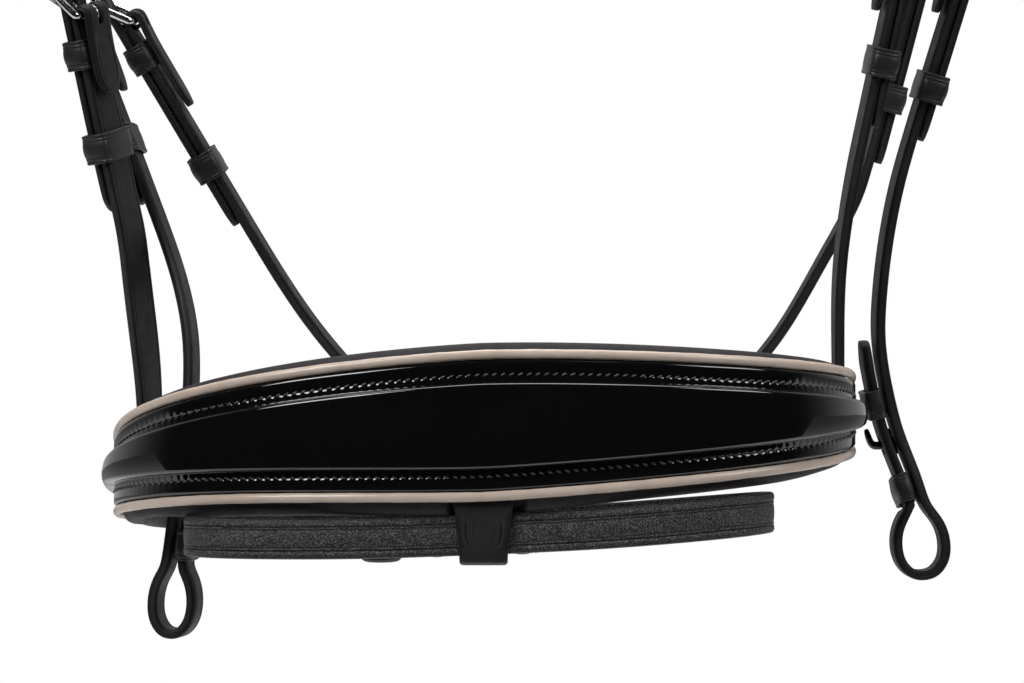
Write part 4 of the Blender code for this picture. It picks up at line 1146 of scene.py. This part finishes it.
@dataclass
class StrapWork:
    """The straps, loops and keepers, and the steel that holds them."""

    finishes: Finishes
    nodes: dict[str, Object]
    bodies: dict[str, str]
    slides: dict[str, Vector]
    puff_depth: float = 0.00022
    puff_scale: float = 90.0

    def build(self) -> None:
        """Soften every solid that the noseband doesn't stand for."""
        for node, solid in self.nodes.items():
            if node.startswith("noseband_") and node not in ("noseband_chape", "noseband_chin_strap"):
                continue
            piece = self.make(node).build(solid)
            if node == "crown_pad":
                self.puff(piece)

    def puff(self, pad: Object) -> None:
        """Give the crown pad's leather the shallow swells of its filling.

        Args:
            pad: The crown pad.
        """
        normals = [vertex.normal.copy() for vertex in pad.data.vertices]
        for vertex, normal in zip(pad.data.vertices, normals):
            vertex.co += normal * (self.puff_depth * noise.noise(vertex.co * self.puff_scale))

    def middle(self, node: str) -> Vector:
        """Return the middle of a solid's corners."""
        corners = [vertex.co for vertex in self.nodes[node].data.vertices]
        return sum(corners, Vector()) / len(corners)

    def band_axis(self, node: str) -> Vector:
        """Return the direction of the strap that a keeper or runner goes round.

        Args:
            node: The keeper's or runner's name.

        Returns:
            The direction: a buckle's runner slides along it, and two bit keepers lie along it.
        """
        if node.startswith("bit_keeper"):
            side = node.removeprefix("bit_keeper_").split("_")[1]
            high, low = (self.middle(f"bit_keeper_{level}_{side}") for level in ("high", "low"))
            return (high - low).normalized()
        return self.slides[node.rsplit("_", 1)[0].replace("_buckle", "")]

    def make(self, node: str) -> SoftenedCopy:
        """Choose a solid's finish and how its edges are eased.

        Args:
            node: The solid's name.

        Returns:
            The copy to build.
        """
        body = self.bodies[node]
        finishes = self.finishes
        if node.startswith(("hook_stud", "flash_buckle_frame", "flash_buckle_tongue")):
            return SoftenedCopy(node, body, Slot.STEEL, [finishes.stud], ease=0.0)
        if node.endswith(("_frame", "_tongue")):
            return SoftenedCopy(node, body, Slot.STEEL, [finishes.steel], ease=0.0)
        if "keeper" in node or node.endswith("_runner"):
            return SoftenedCopy(node, body, Slot.LEATHER, [finishes.keeper], ease=0.0003,
                                axis=self.band_axis(node))
        if node == "crown_pad":
            return SoftenedCopy(node, body, Slot.LINING, [finishes.lining], ease=0.0012)
        if node == "flash_strap":
            return SoftenedCopy(node, body, Slot.LEATHER, [finishes.flash, finishes.edge],
                                creases=FLASH_CREASES)
        return SoftenedCopy(node, body, Slot.LEATHER, [finishes.strap, finishes.edge])


@dataclass(frozen=True)
class Lamp:
    """A square soft lamp: its place and side in metres, and its power in watts."""

    name: str
    place: tuple[float, float, float]
    side: float
    power: float


@dataclass
class Studio:
    """The white room: camera, lamps, floor and sky."""

    eye: Vector = field(default_factory=lambda: Vector((0.0, -1.390, -0.280)))
    aim: Vector = field(default_factory=lambda: Vector((0.0, 0.0, -0.28)))
    lens: float = 157.6
    sensor: float = 36.0
    lamps: tuple[Lamp, ...] = (Lamp("key_lamp", (-0.9, -1.3, 0.9), 0.9, 26.0),
                               Lamp("fill_lamp", (1.3, -0.9, 0.75), 0.8, 12.0),
                               Lamp("top_lamp", (0.1, 0.2, 1.1), 1.0, 16.0))
    floor_level: float = -0.62
    floor_front: float = -0.30
    floor_reach: float = 12.0
    floor_tone: float = 0.86
    floor_roughness: float = 0.9
    sky: float = 0.46
    sky_full_at: float = 0.65
    dark_side: float = 0.012
    dark_till: float = -0.25

    def build(self) -> None:
        """Make the camera, the world, the lamps and the floor."""
        self.camera()
        self.world()
        for lamp in self.lamps:
            self.light(lamp)
        self.floor()
        bpy.context.scene.view_settings.view_transform = "Standard"

    def camera(self) -> None:
        """Put the camera level in front of the noseband."""
        data = bpy.data.cameras.new("front_camera")
        data.lens = self.lens
        data.sensor_width = self.sensor
        data.sensor_fit = "HORIZONTAL"
        data.clip_end = 50.0
        camera = bpy.data.objects.new("front_camera", data)
        camera.location = self.eye
        camera.rotation_euler = (math.pi / 2, 0.0, 0.0)
        bpy.context.scene.collection.objects.link(camera)
        bpy.context.scene.camera = camera

    def world(self) -> None:
        """Make a soft grey sky, dark in front as in a deep room, that is seen as white."""
        world = bpy.data.worlds.new("studio")
        bpy.context.scene.world = world
        graph = NodeGraph(world)
        graph.tree.nodes.clear()
        heading = graph.add("ShaderNodeTexCoord").outputs["Generated"]
        deep = graph.add("ShaderNodeSeparateXYZ", heading).outputs["Y"]
        strength = graph.span(deep, self.dark_till, self.sky_full_at, self.dark_side, self.sky,
                              "SMOOTHSTEP")
        plain, bright = (graph.add("ShaderNodeBackground", WHITE, power) for power in (strength, 1.0))
        graph.add("ShaderNodeOutputWorld", graph.white_for_sight(plain.outputs[0], bright.outputs[0]))

    def light(self, lamp: Lamp) -> None:
        """Add a lamp that faces the bridle.

        Args:
            lamp: The lamp's name, place and sizes.
        """
        data = bpy.data.lights.new(lamp.name, "AREA")
        data.shape = "SQUARE"
        data.size = lamp.side
        data.energy = lamp.power
        source = bpy.data.objects.new(lamp.name, data)
        source.location = lamp.place
        aim = self.aim - Vector(lamp.place)
        source.rotation_euler = aim.to_track_quat("-Z", "Y").to_euler()
        bpy.context.scene.collection.objects.link(source)

    def floor(self) -> None:
        """Lay a wide pale floor under the hanging bridle."""
        front, reach, level = self.floor_front, self.floor_reach, self.floor_level
        mesh = bpy.data.meshes.new("floor")
        mesh.from_pydata([(-reach, front, level), (reach, front, level), (reach, reach, level),
                          (-reach, reach, level)], [], [(0, 1, 2, 3)])
        floor = bpy.data.objects.new("floor", mesh)
        bpy.context.scene.collection.objects.link(floor)
        graph = NodeGraph(bpy.data.materials.new("pale_floor"))
        graph.fill(graph.shader, Base_Color=(*[self.floor_tone] * 3, 1.0),
                   Roughness=self.floor_roughness)
        glow = graph.add("ShaderNodeEmission", WHITE).outputs[0]
        graph.fill(graph.tree.nodes["Material Output"],
                   Surface=graph.white_for_sight(graph.shader.outputs[0], glow))
        mesh.materials.append(graph.owner)


def main() -> None:
    """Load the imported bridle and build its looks."""
    logging.basicConfig(level=logging.INFO, format="%(message)s")
    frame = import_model()
    Studio().build()
    finishes = Finishes()
    bodies = {node: body for body, nodes in frame["record"]["behaviour"]["bodies"].items()
              for node in nodes}
    Noseband(finishes).build()
    slides = {joint["name"].removesuffix("_runner_slide"): Vector(joint["axis"]).normalized()
              for joint in frame["record"]["behaviour"]["joints"]}
    straps = StrapWork(finishes, frame["nodes"], bodies, slides)
    straps.build()


if __name__ == "__main__":
    main()
